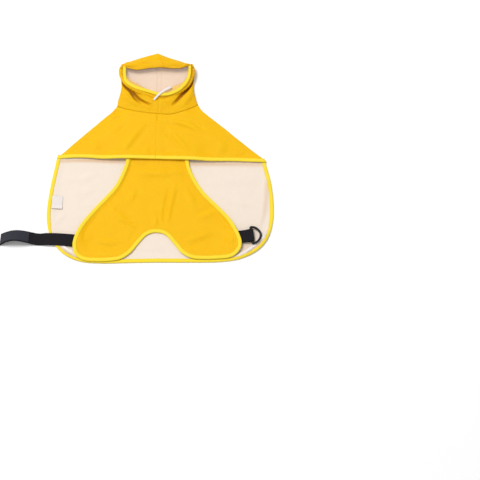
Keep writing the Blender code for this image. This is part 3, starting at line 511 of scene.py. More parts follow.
def back_height(lower):
    """The back's middle surface, with its crests, low under the ring and level in its tape."""
    height = wall_heights("cape", lower, False, 8)
    height[:, -3:] = height[:, -4:-3]
    height += creased(lower, BACK_CREASES) + np.abs(rumpled(lower, 30, 0.5, 4.0))
    from_ring = np.hypot(lower[..., 0] - UNDER_RING[0], lower[..., 1] - UNDER_RING[1])
    height = np.minimum(height, UNDER_RING[2] + 8 * ease(*UNDER_RING[3:], from_ring))
    height = np.maximum(height, CLOTH_LOWEST)
    height[:, -4:] = np.maximum(height[:, -4:], RIM_LOWEST)
    return height


def cape_half_grid(front, back, bow):
    """Chest, fold and back of one half as points [section][row], and the fold's first row."""
    front_rows, back_rows, out = cape_half(front, back)
    chest = section_points(front_rows)
    lower = section_points(back_rows)
    fold_point = np.array(front[-1][:2], float)
    drawn_in = FOLD_RADIUS + np.interp(CAPE_ROWS, BOW_AT, bow)
    for layer in (chest, lower):
        from_fold = (fold_point - layer) @ out
        layer -= (drawn_in * np.clip(1 - from_fold / BOW_REACH, 0, 1))[..., None] * out
    chest_z = chest_height(chest)
    lower_z = back_height(lower)
    radius = (chest_z[-1] - lower_z[0]) / 2
    middle = (chest_z[-1] + lower_z[0]) / 2
    turned = []
    for turn in FOLD_TURNS[1:-1]:
        plan = chest[-1] + out * (radius * math.cos(turn))[:, None]
        turned.append(np.column_stack([plan, middle + radius * math.sin(turn)]))
    grid = np.vstack([np.dstack([chest, chest_z]), turned, np.dstack([lower, lower_z])])
    return grid, len(chest)


right_half, right_fold = cape_half_grid(FRONT_RIGHT, BACK_RIGHT, BOW_RIGHT)
left_half, left_fold = cape_half_grid(FRONT_LEFT, BACK_LEFT, BOW_LEFT)
cape_points = np.vstack([right_half, left_half[-2::-1]])
# Painted highlight on the lining's crests, and painted shade in its folds and under the hem
lit = np.clip(creased(cape_points, LINING_LIGHTS), 0, 1)
shaded = np.clip(creased(cape_points, LINING_SHADES), 0, 1) * (1 - lit)
on_chest = (cape_points[..., 1] > -60) & (cape_points[..., 2] >= 6)
shaded[on_chest] = 0
cape = grid_piece(
    "cape_cloth",
    cape_points,
    [coated, brushed],
    wall=CLOTH_WALL,
    threads=cape_points[..., :2] * MM,
    painted_light=lit - shaded,
)
stand_for(cape, "cape")

# -------- bindings and their stitches
# Every bound edge is closed by a ribbed lemon tape, folded lengthways and sewn through with one
# row of stitches just inside its inner edge. The cape's runs round its whole outer edge.
# The tape's upper half: reach in from the cloth's edge, and height above the cloth's middle.
TAPE_HALF = [
    (6.0, 0.72), (5.5, 1.08), (4.9, 0.94), (4.2, 1.18), (2.8, 1.32), (1.2, 1.34),
    (0, 1.22), (-0.8, 0.78),
]
TAPE_SECTION = TAPE_HALF + [(-0.95, 0)] + [(reach, -height) for reach, height in TAPE_HALF[::-1]]
TAPE_WALL = 0.7
TAPE_STEP = 2.2
STITCH_PITCH = 3.2
STITCH_REACH = 5.0
STITCH_HEIGHTS = (1.3, -1.3)  # on both faces of a bound edge
STITCH_SIZE = (1.15, 0.26, 0.2)  # half the length, width and height of one

lemon = new_finish("lemon_binding", (0.87, 0.665, 0.04), (0.84, 0.62, 0.028), 0.006, 0.65, 0.15)
raised(lemon, joined(lemon, "ADD", ridges(lemon, "Y", 0.0011), nap(lemon, 0.0012)), 0.00009)


def thread_finish(name, light, deep, rough):
    """Sewing thread, twisted."""
    finish = new_finish(name, light, deep, 0.003, rough, 0.3)
    raised(finish, ridges(finish, "X", 0.0004), 0.0001)
    return finish


lemon_thread = thread_finish("lemon_thread", (0.87, 0.60, 0.03), (0.82, 0.54, 0.02), 0.55)


def evenly(rows, spacing):
    """Rows of numbers, their first three a place, taken again at even spacing."""
    run = np.concatenate([[0], np.cumsum(np.linalg.norm(np.diff(rows[:, :3], axis=0), axis=1))])
    at = np.linspace(0, run[-1], max(2, int(round(run[-1] / spacing)) + 1))
    return np.column_stack([np.interp(at, run, column) for column in rows.T])


def edge_frames(edge, inner, upward, spacing=TAPE_STEP):
    """Places along an edge, with the ways in over the cloth, square to it, and up from it."""
    along = unit(np.gradient(edge, axis=0))
    inward = inner - edge
    inward = unit(inward - np.sum(inward * along, axis=1, keepdims=True) * along)
    up = unit(np.cross(along, inward))
    up *= np.sign(np.sum(up * upward, axis=1, keepdims=True))
    rows = evenly(np.hstack([edge, inward, up]), spacing)
    return rows[:, :3], unit(rows[:, 3:6]), unit(rows[:, 6:])


def uneven(run, size, seed):
    """Slow noise along a run of millimetres, as a column."""
    return np.array([noise.noise(Vector((at / size, seed, 0))) for at in run])[:, None]


def bind(name, frames, flip, seed, width=1.0):
    """Folded tape round an edge, a little uneven where the stitches draw it in.

    The width is a share of the tape's own that shows at each place.
    """
    edge, inward, up = frames
    wave = uneven(np.arange(len(edge)) * TAPE_STEP, 5.5, seed)
    points = []
    for reach, height in TAPE_SECTION:
        lift = height * (1 + 0.10 * wave) if height > 0 else height
        reach = np.where(reach > 1.2, 1.2 + (reach - 1.2) * width, reach)
        points.append(edge + (reach + 0.3 * wave) * inward + lift * up)
    return grid_piece(name, np.stack(points, axis=1), [lemon], wall=TAPE_WALL, flip=flip)


def stitch(name, frames, reach, heights, finish=None, pitch=STITCH_PITCH):
    """A row of short stitches along an edge, at each of these heights above the cloth."""
    reaches = np.broadcast_to(reach, (len(frames[0]), 1))
    rows = evenly(np.hstack([*frames, reaches]), pitch)
    rows[:, :3] += rows[:, 9:] * rows[:, 3:6]
    ahead = unit(np.gradient(rows[:, :3], axis=0))
    bm = bmesh.new()
    for height in heights:
        for row, along in zip(rows[1:-1], ahead[1:-1]):
            up = Vector(row[6:9])
            place = Vector(row[:3]) + height * up
            axes = (Vector(along), up.cross(Vector(along)).normalized(), up)
            turn = Matrix([a * k for a, k in zip(axes, STITCH_SIZE)]).transposed().to_4x4()
            place_matrix = Matrix.Scale(MM, 4) @ Matrix.Translation(place) @ turn
            bmesh.ops.create_icosphere(bm, subdivisions=1, radius=1, matrix=place_matrix)
    return smooth_piece(name, bm, [finish or lemon_thread])


def bound(name, frames, flip, seed, reach=STITCH_REACH, width=1.0):
    """The tape and stitches that bind a piece, standing for the solid of its binding."""
    tape = bind(f"{name}_tape", frames, flip, seed, width)
    stand_for(tape, f"{name}_binding")
    stitches = stitch(f"{name}_stitches", frames, reach, STITCH_HEIGHTS)
    stand_for(stitches, None)
    return tape, stitches


cape_rim = cape_points[:, -1]
from_rim = np.linalg.norm(cape_points - cape_points[:, -1:], axis=2)
inner_row = np.argmin(np.abs(from_rim - 8.0), axis=1)
cape_inner = cape_points[np.arange(len(cape_points)), inner_row]
cape_up = unit(np.cross(cape_rim - cape_inner, np.gradient(cape_rim, axis=0)))
cape_frames = edge_frames(cape_rim, cape_inner, cape_up)
# The lining rolls over the tape's inner part where its two big folds run beside the edge
rolled = ease(-50, -66, cape_frames[0][:, 1]) * ease(132, 156, np.abs(cape_frames[0][:, 0]))
tape_shown = 1 - 0.42 * rolled[:, None]
stitched_at = 1.2 + (STITCH_REACH - 1.2) * tape_shown
cape_tape, cape_stitches = bound("cape", cape_frames, False, 2.0, stitched_at, tape_shown)

# -------- leash flap
# A rounded flap on the outside of the back, under the coat as it lies. It covers the slit for the
# leash, is cut from the same cloth, bound on its free edge and sewn in at the neck seam.
FLAP_HALF_WIDTH = 31.2
FLAP_ROOT = 187.2
FLAP_ROUND = 28.7
FLAP_ROUND_Y = 152.0
FLAP_MIDDLE = 1.8
FLAP_COLUMNS = 49
FLAP_ROWS = 30
FLAP_SIDE_ROWS = 16
FLAP_SIDE_END = 153.0
FLAP_HEART = 165.0  # y of the point that the round's tape reaches in towards

flap_x = FLAP_HALF_WIDTH * np.sin(np.linspace(-math.pi / 2, math.pi / 2, FLAP_COLUMNS))
beyond = np.clip(np.abs(flap_x) - (FLAP_HALF_WIDTH - FLAP_ROUND), 0, FLAP_ROUND)
flap_y = FLAP_ROUND_Y - np.sqrt(FLAP_ROUND**2 - beyond**2)
flap_rim = np.column_stack([flap_x, flap_y])
flap_root = flap_rim * (1, 0) + (0, FLAP_ROOT)
flap_plan = between(flap_root[:, None], flap_rim[:, None], down(FLAP_ROWS))
flap_points = np.dstack([flap_plan, np.full(flap_plan.shape[:2], FLAP_MIDDLE)])
off_sides = 1 - np.abs(flap_points[..., 0] / FLAP_HALF_WIDTH) ** 4
flap_points[..., 2] -= 0.6 * off_sides * ease(122, 140, flap_points[..., 1])
flap_points[..., 2] += 0.5 * np.abs(rumpled(flap_points, 18, 1.0, 6.0)) * off_sides
flap = grid_piece("flap_cloth", flap_points, [coated, brushed], wall=CLOTH_WALL, flip=True)
stand_for(flap, "leash_flap")
side_y = np.linspace(FLAP_ROOT, FLAP_SIDE_END, FLAP_SIDE_ROWS)
flap_side = np.column_stack([np.full(FLAP_SIDE_ROWS, FLAP_HALF_WIDTH), side_y])
flap_edge = np.vstack([flap_side, flap_rim[1:-1][::-1], flap_side[::-1] * (-1, 1)])
flap_edge = np.column_stack([flap_edge, np.full(len(flap_edge), FLAP_MIDDLE)])
flap_inner = flap_edge * (0.7, 0.85, 1) + (0, 0.15 * FLAP_HEART, 0)
flap_inner[:FLAP_SIDE_ROWS, 1] = flap_edge[:FLAP_SIDE_ROWS, 1]
flap_inner[-FLAP_SIDE_ROWS:, 1] = flap_edge[-FLAP_SIDE_ROWS:, 1]
flap_frames = edge_frames(flap_edge, flap_inner, (0, 0, -1))
flap_tape, flap_stitches = bound("flap", flap_frames, False, 5.0)

# -------- belly strap
# The strap is 25 mm woven webbing sewn under the left lobe. It crosses the back's edge and its
# outer end stands up in a low arch. Columns: far edge x, y, then near edge x, y.
STRAP = [
    (-152, -75.2, -154, -100), (-167, -74, -169, -99), (-185, -72.5, -187, -97.3),
    (-198, -71.8, -200, -96.8), (-210, -71.3, -210, -96.3), (-222, -71.2, -221, -95.9),
    (-231, -71.2, -230, -95.8), (-240, -70.8, -240, -95.4), (-250, -69.6, -251, -94),
    (-262, -68.4, -264, -92.6), (-274, -67.8, -277, -91.9), (-286, -68.2, -289, -92),
    (-297, -69.6, -299.5, -93.2), (-305, -71, -307, -94.8), (-310, -72, -312, -96.2),
]
WEBBING_WALL = 1.3
WEBBING_COLUMNS = 15
PATCH_FIRST = 8.3  # place of the patch's inner end along the strap's rows
PATCH_LAST = 13.6
PATCH_WALL = 1.1

webbing = new_finish(
    "black_webbing", (0.014, 0.0125, 0.015), (0.009, 0.008, 0.010), 0.002, 0.85, 0.15
)
weft = ridges(webbing, "X", 0.0017)
warp = joined(webbing, "MULTIPLY", ridges(webbing, "Y", 0.0023), 0.6)
raised(webbing, joined(webbing, "ADD", weft, warp), 0.00025)

dark_thread = thread_finish("dark_thread", (0.035, 0.034, 0.04), (0.025, 0.024, 0.03), 0.6)

strap_rows = through(STRAP, 6)
strap_plan = between(strap_rows[:, None, :2], strap_rows[:, None, 2:], down(WEBBING_COLUMNS))
strap_points = np.dstack([strap_plan, wall_heights("belly_strap", strap_plan, True, 5)])
strap = grid_piece("strap_webbing", strap_points, [webbing], wall=WEBBING_WALL)
stand_for(strap, "belly_strap")

# The hook tape that fastens the strap covers its arch; its stitches run along three of its sides
hooks = new_finish(
    "black_hook_tape", (0.032, 0.033, 0.044), (0.024, 0.025, 0.034), 0.0025, 0.85, 0.2, sheen=0.1
)
place = add_node(hooks, "ShaderNodeTexCoord").outputs["UV"]
tufts = add_node(hooks, "ShaderNodeTexVoronoi", {"Vector": place}, Scale=900.0)
raised(hooks, tufts.outputs["Distance"], 0.0004)
patch_rows = through(STRAP, np.linspace(PATCH_FIRST, PATCH_LAST, 45))
patch_plan = between(patch_rows[:, None, :2], patch_rows[:, None, 2:], down(13, 0.07, 0.93))
patch_points = np.dstack([patch_plan, wall_heights("belly_strap", patch_plan, True, 5)])
patch_up = unit(np.cross(np.gradient(patch_points, axis=0), np.gradient(patch_points, axis=1)))
patch_points += patch_up * ((WEBBING_WALL + PATCH_WALL + 0.1) / 2)
patch = grid_piece("patch_hooks", patch_points, [hooks], wall=PATCH_WALL)
stand_for(patch, "hook_patch")
patch_edge = np.vstack([patch_points[:, 0], patch_points[-1, 1:], patch_points[-2::-1, -1]])
patch_frames = edge_frames(patch_edge, patch_edge * 0.8 + patch_points[22, 6] * 0.2, (0, 0, 1))
patch_stitches = stitch("patch_stitches", patch_frames, 1.6, (0.62,), dark_thread, 2.8)
stand_for(patch_stitches, None)

# -------- ring and its loop
# A moulded plastic D-ring hangs by its bar in a loop of the same webbing, sewn under the right
# lobe. The bar turns in the loop. Loop path: reach out from the bar's middle, drop from its axis.
RING_PLACE = np.array([187.8, -76.6, 8.115])
RING_TURN = math.radians(7)
LOOP_PATH = [
    (-36, -2.95), (-28, -2.95), (-15, -2.95), (-4, -2.95), (0, -2.95), (2.1, -2.1),
    (2.95, 0), (2.1, 2.1), (0, 2.95), (-4, 2.5), (-9.8, 0.3), (-15, -0.9), (-22, -1.3),
    (-28, -1.35), (-36, -1.35),
]
# One arm of the ring from the middle of its bar to the tip of its bow: reach, side
RING_ARM = [
    (0, 0), (0, 6), (0, 12.0), (-1.1, 14.8), (-0.6, 16.4), (1.8, 16.7), (5.4, 16.0),
    (8.7, 14.5), (11.8, 11.9), (14.6, 8.4), (16.7, 4.2), (17.5, 0),
]
LOOP_SEWN_ROW = 54  # of the loop's grid, where its two layers meet behind the bar
RING_WIRE = 2.2
RING_WIRE_SLIMMER = 0.5  # in the loop, so that the bar turns in it
RING_TILT = math.radians(3)

out = np.array([math.cos(RING_TURN), math.sin(RING_TURN), 0])
side = np.array([-math.sin(RING_TURN), math.cos(RING_TURN), 0])
loop_path = through(LOOP_PATH, 5)
width = down(WEBBING_COLUMNS, -12.5, 12.5)
loop_points = RING_PLACE + loop_path[:, None, :1] * out + width * side
loop_points = loop_points + loop_path[:, None, 1:] * np.array([0, 0, 1])
loop = grid_piece("loop_webbing", loop_points, [webbing], wall=WEBBING_WALL)
stand_for(loop, "ring_loop")
sewn_rows = loop_points[LOOP_SEWN_ROW : LOOP_SEWN_ROW + 3, 1:-1]
bar_frames = edge_frames(sewn_rows[0], sewn_rows[2], (0, 0, 1), spacing=1.0)
loop_stitches = stitch("loop_stitches", bar_frames, 1.0, (0.8,), dark_thread, 2.8)
stand_for(loop_stitches, None)

moulded = new_finish(
    "black_plastic", (0.009, 0.009, 0.0105), (0.007, 0.007, 0.008), 0.004, 0.42, 0.25
)
raised(moulded, nap(moulded, 0.0006), 0.00003)
arm = through(RING_ARM, 5)
outline = np.vstack([arm, arm[-2::-1] * (1, -1)])
forward = out * math.cos(RING_TILT) - np.array([0, 0, math.sin(RING_TILT)])
lift = out * math.sin(RING_TILT) + np.array([0, 0, math.cos(RING_TILT)])
wire_line = RING_PLACE + outline[:, :1] * forward + outline[:, 1:] * side
wire_run = unit(np.roll(wire_line[:-1], -1, axis=0) - np.roll(wire_line[:-1], 1, axis=0))
wire_run = np.vstack([wire_run, wire_run[:1]])
wire_side = unit(np.cross(wire_run, lift))
turns = down(17, 0, 2 * math.pi)
in_loop = ease(14, 12.5, np.abs(outline[:, 1])) * ease(3, 1, outline[:, 0])
wire = (RING_WIRE - RING_WIRE_SLIMMER * in_loop)[:, None, None]
ring_points = wire_line[:, None] + wire * (
    np.cos(turns) * wire_side[:, None] + np.sin(turns) * lift
)
ring = grid_piece("ring_moulding", ring_points, [moulded], flip=True, closed=True)
stand_for(ring, "d_ring", body="ring")

# -------- care label
# A blank satin label sewn into the side seam of the lining, its free lower edge lifting a little.
LABEL_CORNERS = [(-211, 8), (-190, 7.5), (-212.5, -19), (-190.5, -20)]
satin = new_finish(
    "white_tape", (0.765, 0.705, 0.665), (0.73, 0.67, 0.63), 0.003, 0.5, 0.15, sheen=0.05
)
raised(satin, ridges(satin, "Y", 0.0006), 0.00008)
u = np.linspace(0, 1, 20)[:, None, None]
v = down(24)
corners = np.array(LABEL_CORNERS, float)
label_plan = between(between(*corners[:2], u), between(*corners[2:], u), v)
label_z = wall_heights("care_label", label_plan, True, 3) - 0.25
label_z += 2.2 * ease(0.7, 1.0, v[..., 0]) * (0.5 + 0.5 * u[..., 0])
label_z += rumpled(label_plan, 9, 0.3, 3)
label = grid_piece("label_satin", np.dstack([label_plan, label_z]), [satin], wall=0.35)
stand_for(label, "care_label")

# -------- belly panel
# The belly panel is cut from the same cloth. It goes up under the chest to the neck seam and ends
# in two lobes round a notch; both sides and the whole lower edge are bound. Columns: x, y.
BELLY_LEFT = [
    (-47, 178), (-53, 140), (-62, 105), (-68, 72), (-84, 33),
    (-104, 7), (-126, -18), (-148.5, -47), (-161.5, -72), (-167, -95),
]
BELLY_LOWER = [
    (-162, -116), (-146, -127.5), (-120, -130.5), (-92, -129.5), (-70, -125), (-51, -111),
    (-34, -89.2), (-20, -74.8), (-3, -69.8), (16, -74.8), (32, -92.2), (49, -113), (68, -123.5),
    (92, -126), (120, -125), (145, -122), (162, -110),
]
BELLY_RIGHT = [
    (167.5, -91), (160, -68), (144.5, -41), (120, -13.5), (93.5, 14),
    (75.5, 41), (63, 70), (58, 105), (53, 140), (47, 178),
]
BELLY_CREASES = [
    [(-91, -8, 0, 6), (-71, -27, -1.5, 7), (-55, -43, -1.5, 7), (-38, -57, 0, 5)],
    [(-98, -18, 0, 6), (-76, -38, 2.2, 7), (-58, -51, 2, 6), (-42, -62, 0, 5)],
    [(26, 36, 0, 7), (19, 0, -1.7, 8), (14, -36, -1.9, 8), (16, -58, 0, 5)],
    [(36, 40, 0, 7), (29, 8, 2.2, 8), (22, -28, 2, 8), (20, -52, 0, 5)],
    [(74, -30, 0, 6), (90, -26, -1.3, 8), (104, -19, -1.3, 8), (126, -14, 0, 5)],
    [(72, -40, 0, 6), (92, -35, 2, 8), (112, -27, 1.5, 8), (132, -24, 0, 5)],
    [(50, -88, 0, 6), (72, -83, 2.2, 9), (92, -75, 2.2, 9), (116, -66, 0, 6)],
    [(56, -98, 0, 6), (78, -93, -1, 8), (102, -84, 0, 6)],
    [(-70, -88, 0, 6), (-88, -91, 2.2, 9), (-106, -89, 2, 9), (-126, -77, 0, 6)],
    [(-74, -100, 0, 6), (-96, -103, -1, 8), (-118, -96, 0, 6)],
    [(-60, 58, 0, 8), (-20, 55, 2, 9), (24, 56, 1.8, 9), (60, 58, 0, 8)],
    [(-46, 30, 0, 8), (-52, 6, 1.5, 10), (-64, -10, 0, 7)],
    [(56, 22, 0, 8), (66, 0, 1.5, 10), (76, -12, 0, 7)],
    [(-6, -60, 0, 5), (-4, -48, 2, 7), (-6, -30, 0, 6)],
    [(140, -96, 0, 6), (148, -84, 1.8, 8), (146, -66, 0, 6)],
    [(-146, -100, 0, 6), (-152, -86, 1.8, 8), (-148, -66, 0, 6)],
]


def inset(outline, distance):
    """Plan points moved to the left of the outline's direction."""
    along = unit(np.gradient(outline, axis=0))
    return outline + distance * np.stack([-along[:, 1], along[:, 0]], axis=1)


def cloth_height(points, plan):
    """Height of a grid of points [column][row] at plan places, from the four nearest."""
    flat = points.reshape(-1, 3)
    heights = []
    for x, y in plan:
        away = np.hypot(flat[:, 0] - x, flat[:, 1] - y)
        near = np.argpartition(away, 4)[:4]
        heights.append(np.average(flat[near, 2], weights=1 / (away[near] + 0.05)))
    return np.array(heights)


def away_from(plan, line):
    """Distance of each plan point from the nearest point of a line."""
    nearest = [np.hypot(plan[..., 0] - x, plan[..., 1] - y) for x, y in line[:, :2]]
    return np.min(nearest, axis=0)


belly_rim = through(BELLY_LEFT + BELLY_LOWER + BELLY_RIGHT, 8)
belly_edge = inset(belly_rim, TAPE_OVERHANG)
turn_left = 8 * (len(BELLY_LEFT) - 1)
turn_right = len(belly_rim) - 1 - 8 * (len(BELLY_RIGHT) - 1)
left_side = belly_edge[: turn_left + 1]
lower_side = belly_edge[turn_left : turn_right + 1]
right_side = belly_edge[turn_right:][::-1]
u = np.linspace(0, 1, len(lower_side))[:, None, None]
v = down(len(left_side))
upper_side = between(left_side[0], right_side[0], u[:, 0])
belly_plan = between(left_side[None], right_side[None], u)
belly_plan = belly_plan + between(upper_side[:, None], lower_side[:, None], v)
belly_plan = belly_plan - between(upper_side[0], upper_side[-1], u) * (1 - v)
belly_plan = belly_plan - between(lower_side[0], lower_side[-1], u) * v
belly_z = wall_heights("belly_panel", belly_plan, True, 8)
from_edge = away_from(belly_plan, belly_edge)
in_view = ease(80, 58, belly_plan[..., 1])
belly_z += 1.6 * ease(5, 30, from_edge) * in_view
belly_z += in_view * ease(2, 9, from_edge) * creased(belly_plan, BELLY_CREASES)
belly_z += in_view * ease(2, 12, from_edge) * rumpled(belly_plan, 24, 0.5, 7.0)
belly_points = np.dstack([belly_plan, belly_z])
belly = grid_piece(
    "belly_cloth", belly_points, [coated, brushed], wall=CLOTH_WALL, threads=belly_plan * MM
)
stand_for(belly, "belly_panel")
taped_edge = np.vstack([belly_points[0], belly_points[1:, -1], belly_points[-1, -2::-1]])
taped_inner = inset(taped_edge[:, :2], 6.5)
taped_inner = np.column_stack([taped_inner, cloth_height(belly_points, taped_inner)])
belly_frames = edge_frames(taped_edge, taped_inner, (0, 0, 1))
belly_tape, belly_stitches = bound("belly", belly_frames, True, 8.0)

# -------- hood
# The hood is two mirrored halves of the same cloth, joined at the throat and over the crown to
# the centre back, and sewn to the cape at the neck seam. It lies pressed nearly flat: the throat
# on top, the back of the head below, the brow turned over in front with its hem folded in.
# Each row is a line up one half: share from the centre front (0) over the side fold (3) to the
# centre back (6), then x from the hood's centre line, y, z at the eight places low, high, heel,
# turn, over, rim, edge and tuck.
HOOD_CENTRE = -5.0
HOOD_LINES = [
    (0.0, (0, 189, 10.5), (0, 196, 11), (0, 202, 11.5), (0, 207, 12), (0, 212, 11.5),
     (0, 215.6, 10.4), (0, 217, 9.8), (0, 221, 9.2)),
    (1.0, (27, 192, 10.5), (27.5, 200, 11), (28, 207, 12), (28, 213, 12.5), (28, 219, 12),
     (28, 222.8, 10.6), (28, 224.4, 9.9), (27, 229, 9.3)),
    (2.0, (54, 199, 9.5), (54, 207, 10), (54, 215, 11.2), (54, 222, 12), (54, 229, 12),
     (54.4, 233.4, 10.6), (54.2, 235, 10), (51.5, 240.5, 9.2)),
    (2.6, (71, 209, 7), (69, 218, 8.5), (68, 227, 9.5), (68, 235, 9.5), (69.5, 242, 9.3),
     (70.4, 247.3, 8.4), (69.6, 249.4, 8.4), (65.5, 253.5, 8.4)),
    (3.0, (79, 214, 4.5), (75, 229, 6), (73, 242, 6.5), (73.5, 253, 6.5), (75, 262, 6.4),
     (75, 268, 6.2), (74.5, 270, 7), (70.5, 272, 8.4)),
    (3.3, (74, 216, 1.5), (70, 238, 2), (70, 256, 2.5), (74, 269, 4), (76, 279, 6.5),
     (75, 284, 10), (74, 284, 12), (73, 282, 13)),
    (3.65, (66, 216, 0.5), (64, 244, 0.5), (66, 271, 3.0), (69, 290.5, 8.5), (68, 290, 15),
     (66, 285.5, 18.0), (65.5, 281, 17.6), (65, 283, 17.0)),
    (4.2, (52, 216, 0.5), (52, 246, 0.5), (54, 278, 4.5), (54, 297.5, 10), (53, 291, 17.4),
     (50, 282.5, 18.9), (50, 276.6, 17.9), (50, 280, 17.2)),
    (5.0, (30, 216, 0.5), (30, 248, 0.5), (31, 282, 5.0), (31, 305.3, 10.5), (30, 297, 17.8),
     (28, 283, 18.9), (28, 276.4, 17.9), (28, 280.2, 17.1)),
    (6.0, (0, 216, 0.5), (0, 250, 0.5), (0, 286, 5.0), (0, 314.2, 11), (0, 303, 17.8),
     (0, 283, 18.9), (0, 276.6, 17.8), (0, 280.4, 17.1)),
]
THROAT_SHIFT = 2.5
CROWN_SHIFT = np.array([-1, -1, -1, -2, 6, 12.5, 13, 13])
CROWN_DROP = 2.8  # the crown lies this much lower on its right
# The brow's lower edge hangs in shallow waves: x, y
BROW_EDGE = [(-73, -60, -46, -33, -20, 3, 15, 28, 40, 49, 56, 60),
             (283, 278.5, 276.1, 278, 280.7, 282, 281, 279.6, 280, 281.8, 285, 287)]
# Steps of the grid from the neck seam to the first place, and from each place to the next
HOOD_STEPS = (8, 9, 11, 10, 9, 8, 5, 4)
FOLD_BEGINS, FOLD_ENDS = 2.7, 3.3  # shares between which a half turns over at its side
THROAT_LINES = 85  # lines up a half before its side fold
BACK_LINES = 69  # and after it
NECK_MIDDLE = -2.5  # x at the neck where both halves start
THROAT_SHADE_PRESS = 9  # press of the throat's folds, and of the brow's, that gives them full painted shade
BROW_SHADE_PRESS = 2.6
THROAT_CREASES = [
    [(-80, 255, -2, 3, 0, 1), (-74, 248, -7, 4), (-68, 240, -9, 4.6), (-61, 233, -9, 4.8),
     (-56, 225, -8, 4.8), (-48, 214, -5, 5), (-34, 203, 0, 4)],
    [(-58, 234, 0, 3, 0, 1), (-53, 229, -6, 3.6), (-45, 219.5, -7.5, 4), (-38, 213, -6.5, 4),
     (-25, 205, -4, 4), (-13, 200, 0, 4)],
    [(-82, 256, -1, 8), (-66, 238, -1.5, 12), (-48, 220, -2, 13), (-20, 203, 0, 10)],
    [(-76, 230, 0, 5), (-68, 220, 1.6, 8), (-58, 206, 1.2, 8), (-50, 196, 0, 5)],
    [(-48, 242, 0, 4), (-38, 231, 2.4, 7), (-28, 221, 2.2, 7), (-12, 210, 0, 6)],
    [(-58, 216, 0, 4), (-48, 204, 1.6, 6), (-34, 195, 0, 5)],
    [(73, 263, -2, 3, 0, 1), (67, 255, -8, 4.4), (61, 244, -10, 5.2), (55, 235, -10, 5.6),
     (48, 227, -9, 5.6), (42, 220, -7.5, 5.4), (34, 210, -4.5, 5), (24, 198, 0, 4)],
    [(74, 262, -1, 8), (58, 240, -1.5, 13), (42, 220, -2, 14), (20, 194, 0, 10)],
    [(54, 252, 0, 4), (44, 240, 2.2, 6), (34, 229, 2.2, 7), (18, 212, 0, 6)],
    [(70, 238, 0, 5), (62, 222, 1.8, 8), (50, 206, 1.4, 8), (36, 196, 0, 5)],
    [(8, 213, 0, 4), (18, 205, -1.6, 5), (25, 196, 0, 4)],
    [(-70, 214, 0, 5), (-58, 202, -1.2, 6), (-44, 195, 0, 4)],
    [(-30, 200, 0, 5), (-20, 195, 1.2, 6), (-8, 192, 0, 4)],
]
BROW_CREASES = [
    [(-62, 290, 0, 5), (-40, 296, 1.4, 7), (-16, 300, 0, 5)],
    [(-50, 284, 0, 4), (-30, 288, -1.4, 6), (-6, 290, 0, 4)],
    [(20, 295, 0, 4), (34, 291, 1.4, 6), (48, 287, 0, 4)],
    [(12, 281, 0, 4), (28, 283, -1.2, 5), (42, 279, 0, 4)],
    [(-78, 289, -1, 2, 0, 1), (-73, 286.5, -1.7, 2.4), (-66, 283.5, -1.5, 2.2), (-58, 281, -0.8, 2),
     (-50, 280, 0, 2)],
    [(-66, 292, 0, 3), (-58, 287, 1.6, 4), (-46, 284, 0, 3)],
    [(63, 291, -1, 2, 0, 1), (60, 288, -1.9, 2.4), (56.5, 286, -1.5, 2.2), (52, 285, 0, 2)],
    [(52, 290, 0, 3), (49, 284, 1.6, 4), (44, 279, 0, 3)],
    [(-14, 276, 0, 3), (-12, 281, -1.0, 4), (-10, 288, 0, 3)],
]
HEAD_CREASES = [
    [(-50, 262, 0, 6), (-30, 266, 0.9, 8), (-12, 262, 0, 5)],
    [(6, 268, 0, 6), (22, 262, 0.8, 8), (42, 266, 0, 6)],
    [(-44, 240, 0, 5), (-32, 250, 0.6, 7), (-28, 262, 0, 5)],
    [(16, 232, 0, 5), (26, 244, 0.7, 7), (28, 258, 0, 5)],
    [(-56, 224, 0, 5), (-10, 220, 1.6, 7), (40, 224, 0, 5)],
]


def hood_line(share):
    """The eight places of the line up one half at this share."""
    lines = np.array([[line[0], *np.ravel(line[1:])] for line in HOOD_LINES])
    span = int(np.clip(np.searchsorted(lines[:, 0], share, side="right") - 1, 0, len(lines) - 2))
    before, after = lines[max(span - 1, 0)], lines[min(span + 2, len(lines) - 1)]
    a, b = lines[span], lines[span + 1]
    step = b[0] - a[0]
    t = (share - a[0]) / step
    lean_a = (b - before) / (b[0] - before[0]) * step
    lean_b = (after - a) / (after[0] - a[0]) * step
    row = (2 * t**3 - 3 * t**2 + 1) * a + (t**3 - 2 * t**2 + t) * lean_a
    row = row + (3 * t**2 - 2 * t**3) * b + (t**3 - t**2) * lean_b
    return row[1:].reshape(-1, 3)


